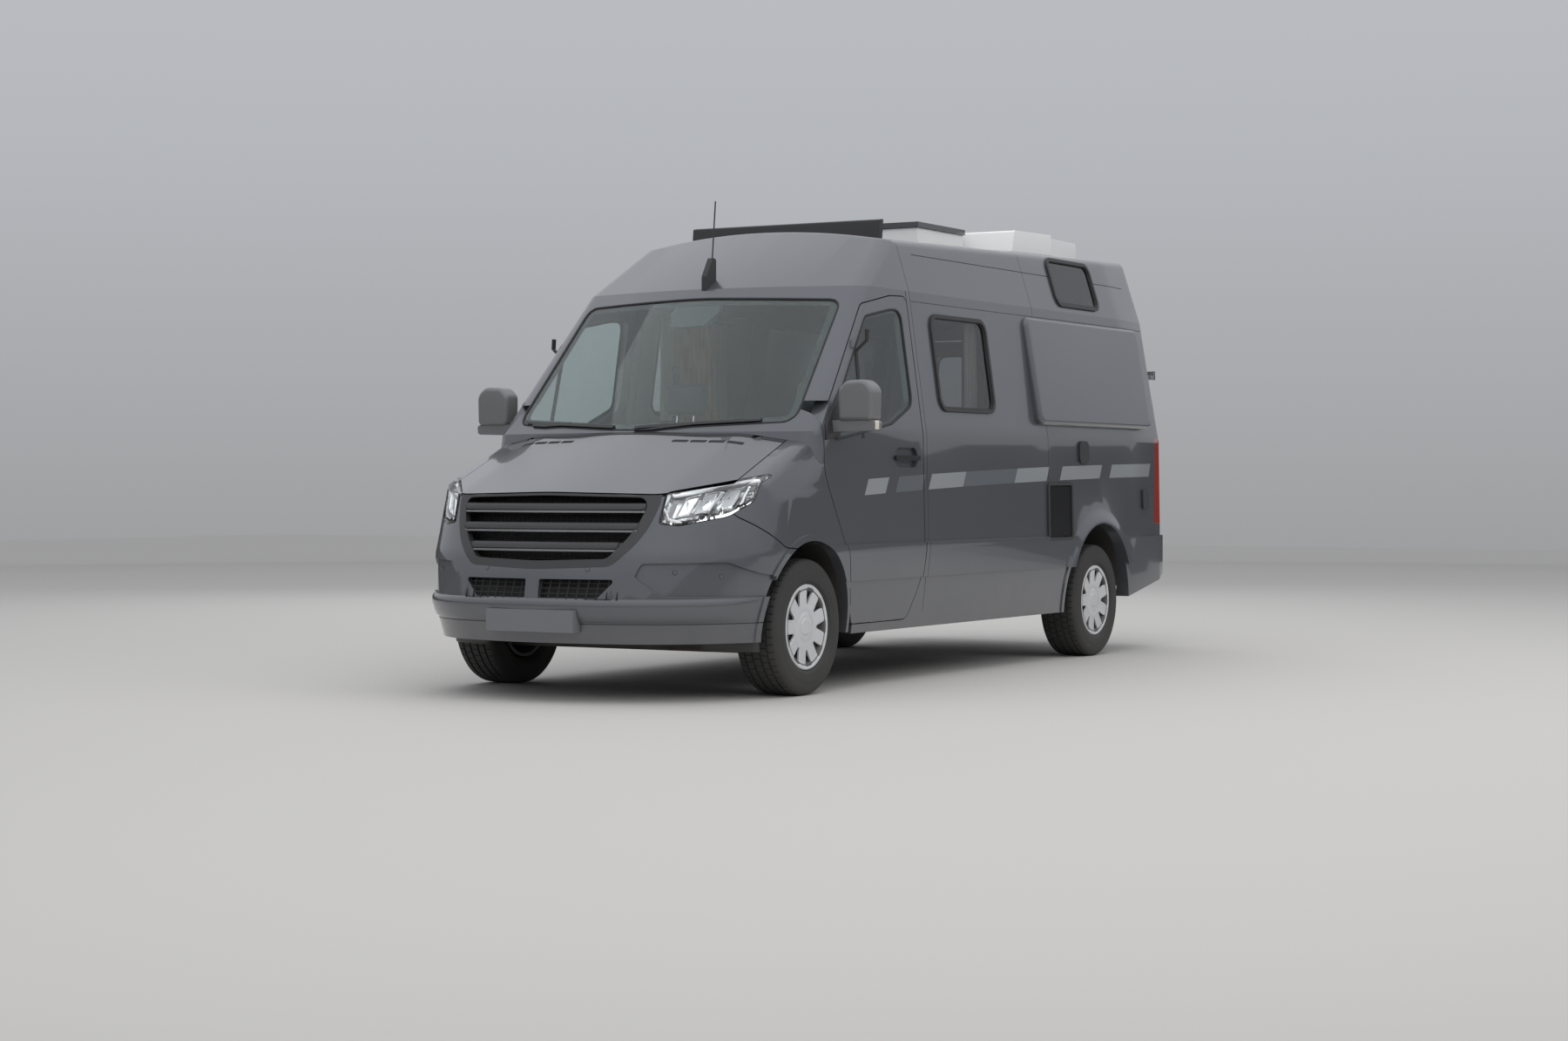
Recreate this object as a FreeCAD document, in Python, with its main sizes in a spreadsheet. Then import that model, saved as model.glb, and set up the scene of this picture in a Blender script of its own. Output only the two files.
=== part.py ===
import FreeCAD, Part
import math
import os
import Sketcher
from types import SimpleNamespace
from FreeCAD import Placement, Rotation, Vector

# Camper van, high roof, four road wheels. Millimetres.
# X runs to the van's left, the nose faces minus Y, Z is up.
# The origin is on the ground under the middle of the body.

doc = FreeCAD.newDocument("camper_van")


class Size:
    """A value and the expression text that gives it from the sheet."""

    def __init__(self, value, text):
        self.value = value
        self.text = text

    @staticmethod
    def of(other):
        if isinstance(other, Size):
            return other
        return Size(float(other), repr(float(other)))

    def join(self, sign, other, value):
        return Size(value, f"({self.text} {sign} {other.text})")

    def __add__(self, other):
        other = Size.of(other)
        return self.join("+", other, self.value + other.value)

    def __radd__(self, other):
        return Size.of(other) + self

    def __sub__(self, other):
        other = Size.of(other)
        return self.join("-", other, self.value - other.value)

    def __rsub__(self, other):
        return Size.of(other) - self

    def __mul__(self, other):
        other = Size.of(other)
        return self.join("*", other, self.value * other.value)

    def __rmul__(self, other):
        return Size.of(other) * self

    def __truediv__(self, other):
        other = Size.of(other)
        return self.join("/", other, self.value / other.value)

    def __neg__(self):
        return Size(-self.value, f"(0 - {self.text})")


# Driving sizes, one row of the sheet each
SIZES = {
    "length": 5932,
    "wheelbase": 3665,
    "front_overhang": 1019,
    "sill_half": 962,
    "moulding_half": 1012,
    "waist_half": 1000,
    "gutter_half": 889,
    "crown_half": 734,
    "sill_height": 290,
    "moulding_height": 720,
    "waist_height": 1340,
    "gutter_height": 2130,
    "crown_height": 2640,
    "roof_top": 2644,
    "screen_foot": 2174,
    "screen_rake": 744,
    "screen_bow": 2000,
    "pillar_radius": 120,
    "rear_taper": 50,
    "rear_radius": 130,
    "roof_round": 60,
    "wall": 50,
    "pane_depth": 3,
    "pane": 6,
    "panel_gap": 6,
    "trim_proud": 12,
    "floor_height": 640,
    "floor_thick": 36,
    "arch_front": 425,
    "arch_rear": 465,
    "hub_height": 347,
    "track": 1736,
    "tyre_radius": 347,
    "tyre_width": 235,
    "rim_radius": 203,
    "rim_width": 178,
    "rail_half": 430,
    "rail_width": 80,
    "rail_height": 130,
    "rail_bottom": 470,
    "seat_width": 500,
    "wheel_ring": 195,
    "lid_side": 620,
    "hinge_bore": 5.3,
    "pin_gap": 0.3,
    "bolt_circle": 130,
}
sheet = doc.addObject("Spreadsheet::Sheet", "dims")
d = SimpleNamespace()
for row, (word, number) in enumerate(SIZES.items(), 1):
    sheet.set(f"A{row}", word)
    sheet.set(f"B{row}", str(number))
    sheet.setAlias(f"B{row}", word)
    setattr(d, word, Size(float(number), f"dims.{word}"))
doc.recompute()

nose = -d.length / 2
front_axle = nose + d.front_overhang
rear_axle = front_axle + d.wheelbase
tail = d.length / 2

TURN = {
    "XY": Rotation(),
    "XZ": Rotation(Vector(1, 0, 0), 90),
    "YZ": Rotation(Vector(1, 1, 1), 120),
}
NORMAL = {"XY": "z", "XZ": "y", "YZ": "x"}
AXIS = {"x": Vector(1, 0, 0), "y": Vector(0, 1, 0), "z": Vector(0, 0, 1)}


def bind(thing, prop, size):
    thing.setExpression(prop, Size.of(size).text)


def place(thing, x=0, y=0, z=0, turn=Rotation()):
    spots = [Size.of(value) for value in (x, y, z)]
    thing.Placement = Placement(Vector(*[spot.value for spot in spots]), turn)
    for letter, spot in zip("xyz", spots):
        bind(thing, f"Placement.Base.{letter}", spot)
    return thing


def outline(name, plane, corners, offset=0):
    """Closed sketch through the corners; a third entry rounds its corner."""
    sketch = doc.addObject("Sketcher::SketchObject", name)
    place(sketch, turn=TURN[plane], **{NORMAL[plane]: offset})
    across = [Size.of(corner[0]) for corner in corners]
    along = [Size.of(corner[1]) for corner in corners]
    rounds = [Size.of(c[2]) if len(c) > 2 else None for c in corners]
    spots = [Vector(a.value, b.value, 0) for a, b in zip(across, along)]
    count = len(spots)
    begin = list(spots)
    finish = list(spots)
    arcs = {}
    for i in range(count):
        if rounds[i] is None:
            continue
        ahead = (spots[i] - spots[i - 1]).normalize()
        after = (spots[(i + 1) % count] - spots[i]).normalize()
        side = 1 if ahead.cross(after).z > 0 else -1
        reach = rounds[i].value * math.tan(ahead.getAngle(after) / 2)
        finish[i] = spots[i] - ahead * reach
        begin[i] = spots[i] + after * reach
        centre = finish[i] + Vector(-ahead.y, ahead.x, 0) * rounds[i].value * side
        arcs[i] = (centre, side)
    lines = []
    for i in range(count):
        line = Part.LineSegment(begin[i], finish[(i + 1) % count])
        lines.append(sketch.addGeometry(line, False))
    for i in range(count):
        before = lines[i - 1]
        behind = lines[i]
        held = behind
        if i not in arcs:
            sketch.addConstraint(Sketcher.Constraint("Coincident", before, 2, behind, 1))
        else:
            centre, side = arcs[i]
            first, last = (finish[i], begin[i]) if side > 0 else (begin[i], finish[i])
            low = math.atan2(first.y - centre.y, first.x - centre.x)
            high = math.atan2(last.y - centre.y, last.x - centre.x)
            if high < low:
                high += 2 * math.pi
            circle = Part.Circle(centre, Vector(0, 0, 1), rounds[i].value)
            arc = sketch.addGeometry(Part.ArcOfCircle(circle, low, high), False)
            start, stop = (1, 2) if side > 0 else (2, 1)
            sketch.addConstraint(Sketcher.Constraint("Tangent", before, 2, arc, start))
            sketch.addConstraint(Sketcher.Constraint("Tangent", arc, stop, behind, 1))
            held = sketch.addGeometry(Part.Point(spots[i]), True)
            for line in (before, behind):
                sketch.addConstraint(Sketcher.Constraint("PointOnObject", held, 1, line))
            made = sketch.addConstraint(
                Sketcher.Constraint("Radius", arc, rounds[i].value))
            sketch.setExpression(f"Constraints[{made}]", rounds[i].text)
        for kind, size in (("DistanceX", across[i]), ("DistanceY", along[i])):
            made = sketch.addConstraint(
                Sketcher.Constraint(kind, -1, 1, held, 1, size.value))
            sketch.setExpression(f"Constraints[{made}]", size.text)
    return sketch


def prism(name, plane, corners, start, stop, lean=None):
    """Outline pulled straight along its normal, or along a leaning line."""
    base = outline(name + "_outline", plane, corners, start)
    made = doc.addObject("Part::Extrusion", name)
    made.Base = base
    made.DirMode = "Custom"
    made.Dir = lean or AXIS[NORMAL[plane]]
    made.Solid = True
    stretch = made.Dir.Length / abs(made.Dir.dot(AXIS[NORMAL[plane]]))
    made.Dir = Vector(made.Dir).normalize()
    bind(made, "LengthFwd", (Size.of(stop) - Size.of(start)) * stretch)
    return made


def loft(name, sketches):
    made = doc.addObject("Part::Loft", name)
    made.Sections = sketches
    made.Solid = True
    made.Ruled = True
    return made


def block(name, x, y, z):
    made = doc.addObject("Part::Box", name)
    for prop, (low, high) in zip(("Length", "Width", "Height"), (x, y, z)):
        bind(made, prop, Size.of(high) - Size.of(low))
    return place(made, x[0], y[0], z[0])


ALONG = {
    "x": Rotation(Vector(0, 1, 0), 90),
    "y": Rotation(Vector(1, 0, 0), -90),
    "z": Rotation(),
}


def rod(name, axis, radius, spot, length):
    made = doc.addObject("Part::Cylinder", name)
    bind(made, "Radius", radius)
    bind(made, "Height", length)
    return place(made, *spot, turn=ALONG[axis])


def fuse(name, *parts):
    made = doc.addObject("Part::MultiFuse", name)
    made.Shapes = list(parts)
    return made


def group(name, *parts):
    made = doc.addObject("Part::Compound", name)
    made.Links = list(parts)
    return made


def common(name, *parts):
    made = doc.addObject("Part::MultiCommon", name)
    made.Shapes = list(parts)
    return made


def cut(name, base, *tools):
    made = doc.addObject("Part::Cut", name)
    made.Base = base
    made.Tool = tools[0] if len(tools) == 1 else fuse(name + "_tools", *tools)
    return made


def flip(name, source):
    made = doc.addObject("Part::Mirroring", name)
    made.Source = source
    made.Normal = Vector(1, 0, 0)
    return made


def pair(name, source):
    return group(name, source, flip(name + "_other", source))


parts = {}


def part(label, made):
    made.Label = label
    parts[label] = made
    return made


# Outer form of cab and living space, drawn as five plan outlines, one above another
LEVELS = (
    (d.sill_height, d.sill_half, -2288, 1.0, 2900),
    (d.moulding_height, d.moulding_half, -2288, 1.0, 2910),
    (d.waist_height, d.waist_half, -d.screen_foot, 1.37, 2918),
    (d.gutter_height, d.gutter_half, -d.screen_foot + d.screen_rake, 1.37, 2858),
    (d.crown_height, d.crown_half, -d.screen_foot + d.screen_rake * 2.1425, 1.37, 2835),
)

ROOF_RISE = 0.03


def cabin(name, inset):
    rings = []
    for step, (height, half, front, slant, rear) in enumerate(LEVELS):
        side = half - inset
        apex = front + inset * slant
        shoulder = apex + side * 0.3
        back = rear - inset
        corners = [
            (0, apex, d.screen_bow),
            (side, shoulder, d.pillar_radius - inset * 0.6),
            (side, 2300, 1500),
            (side - d.rear_taper, back, d.rear_radius - inset * 0.6),
            (-side + d.rear_taper, back, d.rear_radius - inset * 0.6),
            (-side, 2300, 1500),
            (-side, shoulder, d.pillar_radius - inset * 0.6),
        ]
        rings.append(outline(f"{name}_ring{step}", "XY", corners, height))
    solid = loft(f"{name}_loft", rings)
    top = d.roof_top - inset - (2900 + 3200) * ROOF_RISE
    crown = prism(f"{name}_crown", "XZ",
                  [(-1100, 0), (1100, 0), (1100, top - 165), (0, top, 4500),
                   (-1100, top - 165)], -3200, 3200, Vector(0, 1, ROOF_RISE))
    return common(name, solid, crown)


# Outer form of the nose, plan outlines from the bumper foot to above the bonnet
NOSE = (
    (d.sill_height, 0.0, -2968, 655, -2813, -2400),
    (470, None, -3018, 700, -2863, -2430),
    (640, None, -2993, 700, -2843, -2410),
    (d.moulding_height, 1.0, -2968, 697, -2833, -2400),
    (1040, None, -2838, 660, -2745, -2330),
    (d.waist_height, 2.0, -2712, 620, -2640, -2260),
)


def side_at(height):
    """Half width of the body side at a height below the waist."""
    height = Size.of(height)
    if height.value <= SIZES["moulding_height"]:
        ratio = (height - d.sill_height) / (d.moulding_height - d.sill_height)
        return d.sill_half + (d.moulding_half - d.sill_half) * ratio
    ratio = (height - d.moulding_height) / (d.waist_height - d.moulding_height)
    return d.moulding_half + (d.waist_half - d.moulding_half) * ratio


def snout(name, inset):
    rings = []
    for step, (height, rank, apex, cheek, cheek_y, flank_y) in enumerate(NOSE):
        side = side_at(height) - inset
        corners = [
            (0, apex + inset, 1500),
            (cheek - inset * 0.7, cheek_y + inset * 0.7, 700 - inset),
            (side, flank_y + inset * 0.4, 500),
            (side, -1400),
            (-side, -1400),
            (-side, flank_y + inset * 0.4, 500),
            (-cheek + inset * 0.7, cheek_y + inset * 0.7, 700 - inset),
        ]
        rings.append(outline(f"{name}_ring{step}", "XY", corners, height))
    solid = loft(f"{name}_loft", rings)
    drop = Size.of(inset)
    lid = [(-1080, -400), (1080, -400), (1080, 700), (955 - drop, 1060 - drop, 90),
           (620 - drop, 1150 - drop, 700), (0, 1215 - drop, 2500),
           (-620 + drop, 1150 - drop, 700), (-955 + drop, 1060 - drop, 90), (-1080, 700)]
    slope = 0.42
    shifted = [(c[0], Size.of(c[1]) - (3300 - 2421) * slope, *c[2:]) for c in lid]
    top = prism(f"{name}_top", "XZ", shifted, -3300, -1500, Vector(0, 1, slope))
    return common(name, solid, top)


def soften(name, source, radius, wanted):
    """Round the edges of a made solid that the test picks out."""
    doc.recompute()
    solid = source.Shape
    picked = []
    for number, edge in enumerate(solid.Edges, 1):
        faces = solid.ancestorsOfType(edge, Part.Face)
        if len(faces) != 2:
            continue
        middle = edge.valueAt((edge.FirstParameter + edge.LastParameter) / 2)
        normals = []
        for face in faces:
            u, v = face.Surface.parameter(middle)
            normals.append(face.normalAt(u, v))
        if wanted(middle, math.degrees(normals[0].getAngle(normals[1]))):
            picked.append((number, Size.of(radius).value, Size.of(radius).value))
    made = doc.addObject("Part::Fillet", name)
    made.Base = source
    made.Edges = picked
    return made


def grown(corners, by):
    """The same outline with every side moved outwards by one step."""
    spots = [Vector(Size.of(c[0]).value, Size.of(c[1]).value, 0) for c in corners]
    count = len(spots)
    area = sum(spots[i - 1].x * spots[i].y - spots[i].x * spots[i - 1].y for i in range(count))
    around = 1 if area > 0 else -1
    moved = []
    for i, corner in enumerate(corners):
        ahead = (spots[i] - spots[i - 1]).normalize()
        after = (spots[(i + 1) % count] - spots[i]).normalize()
        first = Vector(ahead.y, -ahead.x, 0) * around
        second = Vector(after.y, -after.x, 0) * around
        step = (first + second) / (1 + first.dot(second))
        bulge = 1 if ahead.cross(after).z * around > 0 else -1
        rounds = [Size.of(corner[2]) + by * bulge] if len(corner) > 2 else []
        moved.append((corner[0] + by * step.x, corner[1] + by * step.y, *rounds))
    return moved


def mirrored(corners):
    """The right half of an outline joined to its mirror image."""
    other = [(-Size.of(c[0]), *c[1:]) for c in reversed(corners) if Size.of(c[0]).value]
    return list(corners) + other


def y_from_axle(corners):
    """Side view corners given from the front axle, put in the van's frame."""
    return [(front_axle + c[0], *c[1:]) for c in corners]


def layer(name, form, out, depth):
    """Thin shell that follows the body between two depths below its skin."""
    return cut(name, form(name + "_out", out), form(name + "_in", depth))


gap = d.panel_gap
WIDE = 1300

# The body as one hollow form; every panel is a piece of its wall
def roof_edge(middle, angle):
    return middle.z > 2380 and angle > 25


cabin_out = soften("cabin_out", cabin("cabin_form", 0), d.roof_round, roof_edge)
cabin_in = soften("cabin_in", cabin("cabin_hollow", d.wall), d.roof_round - 20, roof_edge)
nose_out = snout("nose_out", 0)
nose_in = snout("nose_in", 45)
hollow = fuse("hollow", cabin_in, nose_in)
glazing = layer("glazing", cabin, d.pane_depth, d.pane_depth + d.pane)
trim_band = layer("trim_band", cabin, -d.trim_proud, d.wall)

# Wheel arches, both sides of each axle
arch_height = d.hub_height + 12
arches = {}
for word, axle, size in (("front", front_axle, d.arch_front), ("rear", rear_axle, d.arch_rear)):
    arches[word] = rod(f"arch_{word}", "x", size, (-WIDE, axle, arch_height), 2 * WIDE)

# Raised moulding along the sides, flares over the rear arches, lips round the front ones
moulding = common("moulding", trim_band,
                  block("moulding_zone", (-WIDE, WIDE), (-1800, rear_axle + 395), (566, 756)))
cone = doc.addObject("Part::Cone", "flare_cone")
bind(cone, "Radius1", d.arch_rear + 271)
bind(cone, "Radius2", d.arch_rear + 10)
bind(cone, "Height", 74)
place(cone, d.moulding_half - 52, rear_axle, arch_height, turn=ALONG["x"])
flare = common("flare", cone,
               rod("flare_reach", "x", d.arch_rear + 115,
                   (d.moulding_half - 52, rear_axle, arch_height), 80),
               block("flare_zone", (0, WIDE), (rear_axle - 700, rear_axle + 700), (566, 1400)))
flares = pair("flares", flare)
lips = []
for word, axle, size, form in (("front", front_axle, d.arch_front, snout),
                               ("rear", rear_axle, d.arch_rear, cabin)):
    lips.append(common(f"lip_{word}", layer(f"lip_layer_{word}", form, -8, 30),
                       rod(f"lip_reach_{word}", "x", size + 34, (-WIDE, axle, arch_height),
                           2 * WIDE)))
front_lip, rear_lip = lips
nose_wall = cut("nose_wall", fuse("nose_full", nose_out, front_lip, moulding), nose_in)
skin = cut("skin", fuse("hull_full", cabin_out, nose_out, front_lip, rear_lip, flares, moulding),
           hollow)
cabin_wall = cut("cabin_wall", cabin_out, hollow)

# Front door outline and its window, side view
DOOR = y_from_axle([
    (490, 342, 25), (1110, 342, 90), (1250, 560, 300), (1250, 2096, 40),
    (1060, 2090, 400), (735, 2030, 80), (140, 1370, 60), (140, 1130, 250),
    (385, 700, 250), (450, 430)])
DOOR_PANE = y_from_axle([
    (250, 1297, 30), (900, 1393, 120), (1165, 1500, 70), (1165, 2020, 60),
    (1040, 2015, 200), (745, 1965, 50), (215, 1375, 40)])
door_zone = prism("door_zone", "YZ", DOOR, 500, WIDE)
door_hole = prism("door_hole", "YZ", grown(DOOR, gap.value), 500, WIDE)
door_pane_zone = prism("door_pane_zone", "YZ", DOOR_PANE, 500, WIDE)

# Front view of the grille surround, its opening and the headlamps
BEZEL = mirrored([(0, 652, 1500), (415, 668, 90), (560, 800, 400), (607, 985, 200),
                  (603, 1024), (0, 1036, 3000)])
MOUTH = mirrored([(0, 694, 1500), (392, 706, 60), (520, 850, 400), (556, 1004, 45),
                  (0, 1016, 3000)])
LAMP = [(612, 878, 15), (700, 868, 60), (868, 912, 80), (940, 985, 60),
        (953, 1120, 10), (800, 1078, 60), (622, 1030, 20)]
bezel_zone = prism("bezel_zone", "XZ", BEZEL, -3100, -2400)
mouth_zone = prism("mouth_zone", "XZ", MOUTH, -3100, -2400)
lamp_zone = prism("lamp_zone", "XZ", LAMP, -3100, -2250)
lamp_hole = prism("lamp_hole", "XZ", grown(LAMP, 3), -3100, -2250)
lamp_holes = pair("lamp_holes", lamp_hole)

# Bonnet: top of the nose between the wings, ahead of the screen, with two slotted vents
bonnet_half = 846
hinge_x = 686
hinge_y = -1960
hinge_z = 1302
bonnet_front = prism("bonnet_front", "XZ", mirrored([
    (0, 1034, 3000), (600, 1022, 400), (bonnet_half, 1078), (bonnet_half, 1500), (0, 1500)]),
    -3100, -1500)
bonnet_gap = prism("bonnet_gap", "XZ", mirrored([
    (0, 1028, 3000), (600, 1016, 400), (bonnet_half + gap, 1072), (bonnet_half + gap, 1500),
    (0, 1500)]), -3100, -1500)
vents = []
for number in range(4):
    left = 305 + 98 * number
    rise = 20 * number
    vents.append(prism(f"vent_{number}", "XY", [
        (left, -2174 + rise, 8), (left + 86, -2156 + rise, 8), (left + 86, -2126 + rise, 8),
        (left, -2144 + rise, 8)], 1100, 1500))
vent_holes = cut("vent_holes", pair("vent_pair", group("vent_row", *vents)),
                 snout("vent_floor", 12))
bonnet_pin = rod("bonnet_pin", "x", d.hinge_bore - d.pin_gap, (hinge_x - 18, hinge_y, hinge_z), 72)
bonnet_bore = rod("bonnet_bore", "x", d.hinge_bore, (hinge_x - 2, hinge_y, hinge_z), 40)
bonnet_arm = fuse("bonnet_arm", rod("bonnet_knuckle", "x", 10, (hinge_x, hinge_y, hinge_z), 36),
                  block("bonnet_lug", (hinge_x, hinge_x + 36), (hinge_y - 56, hinge_y + 6),
                        (hinge_z - 20, hinge_z - 8)))
bonnet_shell = cut("bonnet_shell", common("bonnet_piece", nose_wall, bonnet_front),
                   cabin("screen_keep", -24), lamp_holes, vent_holes)
part("bonnet", cut("bonnet_whole", fuse("bonnet_set", bonnet_shell,
                                        pair("bonnet_arms", bonnet_arm)),
                   pair("bonnet_bores", bonnet_bore)))

# Scuttle: strip between bonnet and screen, slotted for the two bonnet hinges, with their pins
slot = block("hinge_slot", (hinge_x - 6, hinge_x + 42), (hinge_y - 70, hinge_y + 22), (1150, 1500))
scuttle_strip = cut("scuttle_piece",
                    common("scuttle_strip", cut("nose_plain", nose_out, nose_in),
                           cabin("scuttle_reach", -17),
                           prism("scuttle_zone", "XZ", mirrored([
                               (0, 1100), (bonnet_half, 1100), (bonnet_half, 1500), (0, 1500)]),
                               -3100, -1500)),
                    cabin("scuttle_back", 40), pair("hinge_slots", slot))
part("scuttle", fuse("scuttle_set", scuttle_strip, pair("bonnet_pins", bonnet_pin)))

# Front wings, from the headlamp to the door, with the wheel arch cut out
WING = y_from_axle([
    (-543, 908), (-270, 757, 150), (0, 738), (0, 300), (484, 300), (444, 430),
    (379, 700, 250), (134, 1126, 250), (134, 1460), (-700, 1460), (-700, 1060)])
wing_zone = prism("wing_zone", "YZ", WING, 640, WIDE)
door_pin = rod("door_pin", "z", 3.5, (999, front_axle + 157, 1050), 108)
door_bore = rod("door_bore", "z", 3.8, (999, front_axle + 157, 1085), 76)
wing_piece = cut("wing_piece", common("wing_skin", nose_wall, wing_zone),
                 bonnet_gap, lamp_hole, arches["front"])
wings = pair("front_wings_pair", fuse("wing_set", wing_piece, door_pin))
part("front_wings", wings)

# Front bumper with its cooling inlets, side recesses and lower line
BUMPER = y_from_axle([
    (-1200, 260), (0, 260), (0, 732), (-268, 751, 150), (-549, 905), (-549, 1010),
    (-1200, 1010)])
INLET = [(40, 514, 8), (360, 514, 20), (450, 606, 12), (40, 606, 8)]
FOG = [(536, 618, 12), (660, 526, 20), (1010, 516), (1090, 516), (1090, 560), (892, 689, 40),
       (562, 684, 30)]
bumper_zone = prism("bumper_zone", "YZ", BUMPER, -WIDE, WIDE)
fog_pocket = cut("fog_pocket", prism("fog_zone", "XZ", FOG, -3100, -2300),
                 snout("fog_floor", 15))
lower_line = cut("lower_line", block("line_slab", (-WIDE, WIDE), (-3100, -2300), (386, 391)),
                 snout("line_floor", 6))
part("front_bumper", cut("front_bumper_shell",
                         common("front_bumper_piece", nose_wall, bumper_zone),
                         bezel_zone, lamp_holes, arches["front"], bonnet_gap,
                         pair("wing_holes", prism("wing_hole", "YZ", grown(WING, gap.value), 500,
                                                  WIDE)),
                         pair("inlets", prism("inlet", "XZ", INLET, -3100, -2400)),
                         pair("fog_pockets", fog_pocket), lower_line))

# Grille: surround with three broad slats
slats = []
for number, height in enumerate((760, 855, 950)):
    slats.append(block(f"slat_{number}", (-560, 560), (-3100, -2400),
                       (height - 20, height + 24)))
slat_set = common("slat_set", layer("slat_layer", snout, 8, 26),
                  fuse("slat_bars", *slats), mouth_zone)
surround = cut("surround", common("surround_piece", nose_wall, bezel_zone), mouth_zone,
               bonnet_gap)
part("grille", fuse("grille_set", surround, slat_set))
part("headlamps", pair("headlamp_pair", cut("headlamp_left",
                       common("headlamp_piece", nose_wall, lamp_zone), bonnet_gap)))

# Windscreen and the frame round it
SCREEN = mirrored([(0, 1346, 4000), (862, 1390, 60), (800, 2052, 60), (0, 2075, 4000)])
screen_zone = prism("screen_zone", "XZ", SCREEN, -2600, -900)
front_zone = prism("front_zone", "YZ", y_from_axle([
    (-500, 1000), (140, 1000), (140, 1500), (900, 1500), (900, 2000), (1252, 2000),
    (1252, 2130), (-500, 2130)]), -WIDE, WIDE)
door_holes = pair("door_holes", door_hole)
part("windscreen", common("windscreen_pane", glazing, screen_zone))
part("windscreen_frame", cut("windscreen_frame_piece",
                             common("frame_piece", cabin_wall, front_zone),
                             screen_zone, door_holes, nose_out))

# Two wiper blades resting on the glass, each with its arm
on_glass = layer("on_glass", cabin, -12, d.pane_depth - d.pin_gap)
on_skin = layer("on_skin", cabin, -14, -d.pin_gap)
BLADES = {
    "wiper_right": [(-800, 1398), (-120, 1364), (-120, 1378), (-800, 1412)],
    "arm_right": [(-730, 1396), (-705, 1392), (-440, 1397), (-440, 1385), (-700, 1376),
                  (-738, 1380)],
    "wiper_left": [(20, 1360), (690, 1396), (690, 1410), (20, 1374)],
    "arm_left": [(20, 1352), (60, 1354), (370, 1392), (370, 1380), (60, 1346), (20, 1346)],
}
blades = []
for word, corners in BLADES.items():
    blades.append(prism(word, "XZ", corners, -2600, -1700))
part("wipers", common("wiper_set", on_glass, screen_zone,
                      group("blade_set", fuse("blades_right", *blades[:2]),
                            fuse("blades_left", *blades[2:]))))

# Front doors with pane, handle and mirror
CUP = y_from_axle([(920, 1160, 48), (1182, 1160, 48), (1182, 1268, 48), (920, 1268, 48)])
cup = cut("cup", prism("cup_zone", "YZ", CUP, 500, WIDE), cabin("cup_floor", 20))
door_body = cut("door_body", common("door_skin", skin, door_zone), door_pane_zone, cup,
                door_bore)
door_pane = common("door_pane", glazing, door_pane_zone)
handle = common("door_handle", on_skin, prism("handle_zone", "YZ", y_from_axle([
    (908, 1198, 10), (1194, 1198, 10), (1194, 1226, 10), (908, 1226, 10)]), 500, WIDE))
HEAD = [(1040, 1394, 20), (1236, 1394, 26), (1240, 1560, 60), (1190, 1607, 70),
        (1080, 1601, 60), (1036, 1556, 40)]
FOOT = [(960, 1338), (1240, 1345, 20), (1250, 1398, 20), (960, 1398)]


def mirror_edge(middle, angle):
    return middle.x > 1045 and abs(angle) > 40 and middle.z > 1400


head = soften("mirror_head", prism("mirror_block", "XZ", HEAD, front_axle + 208,
                                   front_axle + 330), 24, mirror_edge)
recess = prism("mirror_recess", "XZ", grown(HEAD, -12), front_axle + 322, front_axle + 340)
foot = prism("mirror_foot", "XZ", FOOT, front_axle + 226, front_axle + 308)
mirror = cut("mirror_body", fuse("mirror_whole", head, foot), recess,
             fuse("hull", cabin_out, nose_out))
part("door_left", door_body)
part("door_right", flip("door_right_body", door_body))
part("door_left_pane", door_pane)
part("door_right_pane", flip("door_right_glass", door_pane))
trim = group("door_trim", mirror, handle)
part("mirror_left", trim)
part("mirror_right", flip("mirror_right_body", trim))

# Living space walls, from the front doors to the rear corners
top = d.gutter_height
rear_edge = [(860, 745, 30), (848, 1340, 900), (764, 2050, 60)]
REAR_DOORS = mirrored([(0, 745), *rear_edge, (0, 2050)])
rear_hole = prism("rear_hole", "XZ", grown(REAR_DOORS, gap.value), 2600, 3100)
wall_zone = cut("wall_zone", fuse(
    "wall_reach", block("wall_back", (0, WIDE), (front_axle + 1252 + gap, 3100), (260, top)),
    block("sill", (0, WIDE), (front_axle + 496, front_axle + 1300), (260, 640))), door_hole)
portal = block("portal", (-700, 700), (2700, 3100), (260, top))
bumper_rear_zone = block("bumper_rear_zone", (-WIDE, WIDE), (rear_axle + 395, 3100), (260, 733))
LAMP_REAR = [(rear_axle + 950, 812, 30), (3100, 812), (3100, 1373), (rear_axle + 1010, 1373, 40)]
tail_zone = cut("tail_zone", prism("tail_zone_piece", "YZ", LAMP_REAR, 500, WIDE), rear_hole)
PANE_SIDE = y_from_axle([(1517, 1497, 60), (2191, 1497, 60), (2191, 1998, 60), (1517, 1998, 60)])
PANE_HIGH = y_from_axle([(3322, 2187, 50), (3943, 2187, 50), (3943, 2448, 50), (3322, 2448, 50)])
pane_side_zone = prism("pane_side_zone", "YZ", PANE_SIDE, 500, WIDE)
pane_side_rim = prism("pane_side_rim", "YZ", grown(PANE_SIDE, 22), 500, WIDE)
pane_high_zone = prism("pane_high_zone", "YZ", PANE_HIGH, 500, WIDE)
pane_high_rim = prism("pane_high_rim", "YZ", grown(PANE_HIGH, 22), 500, WIDE)

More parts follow.
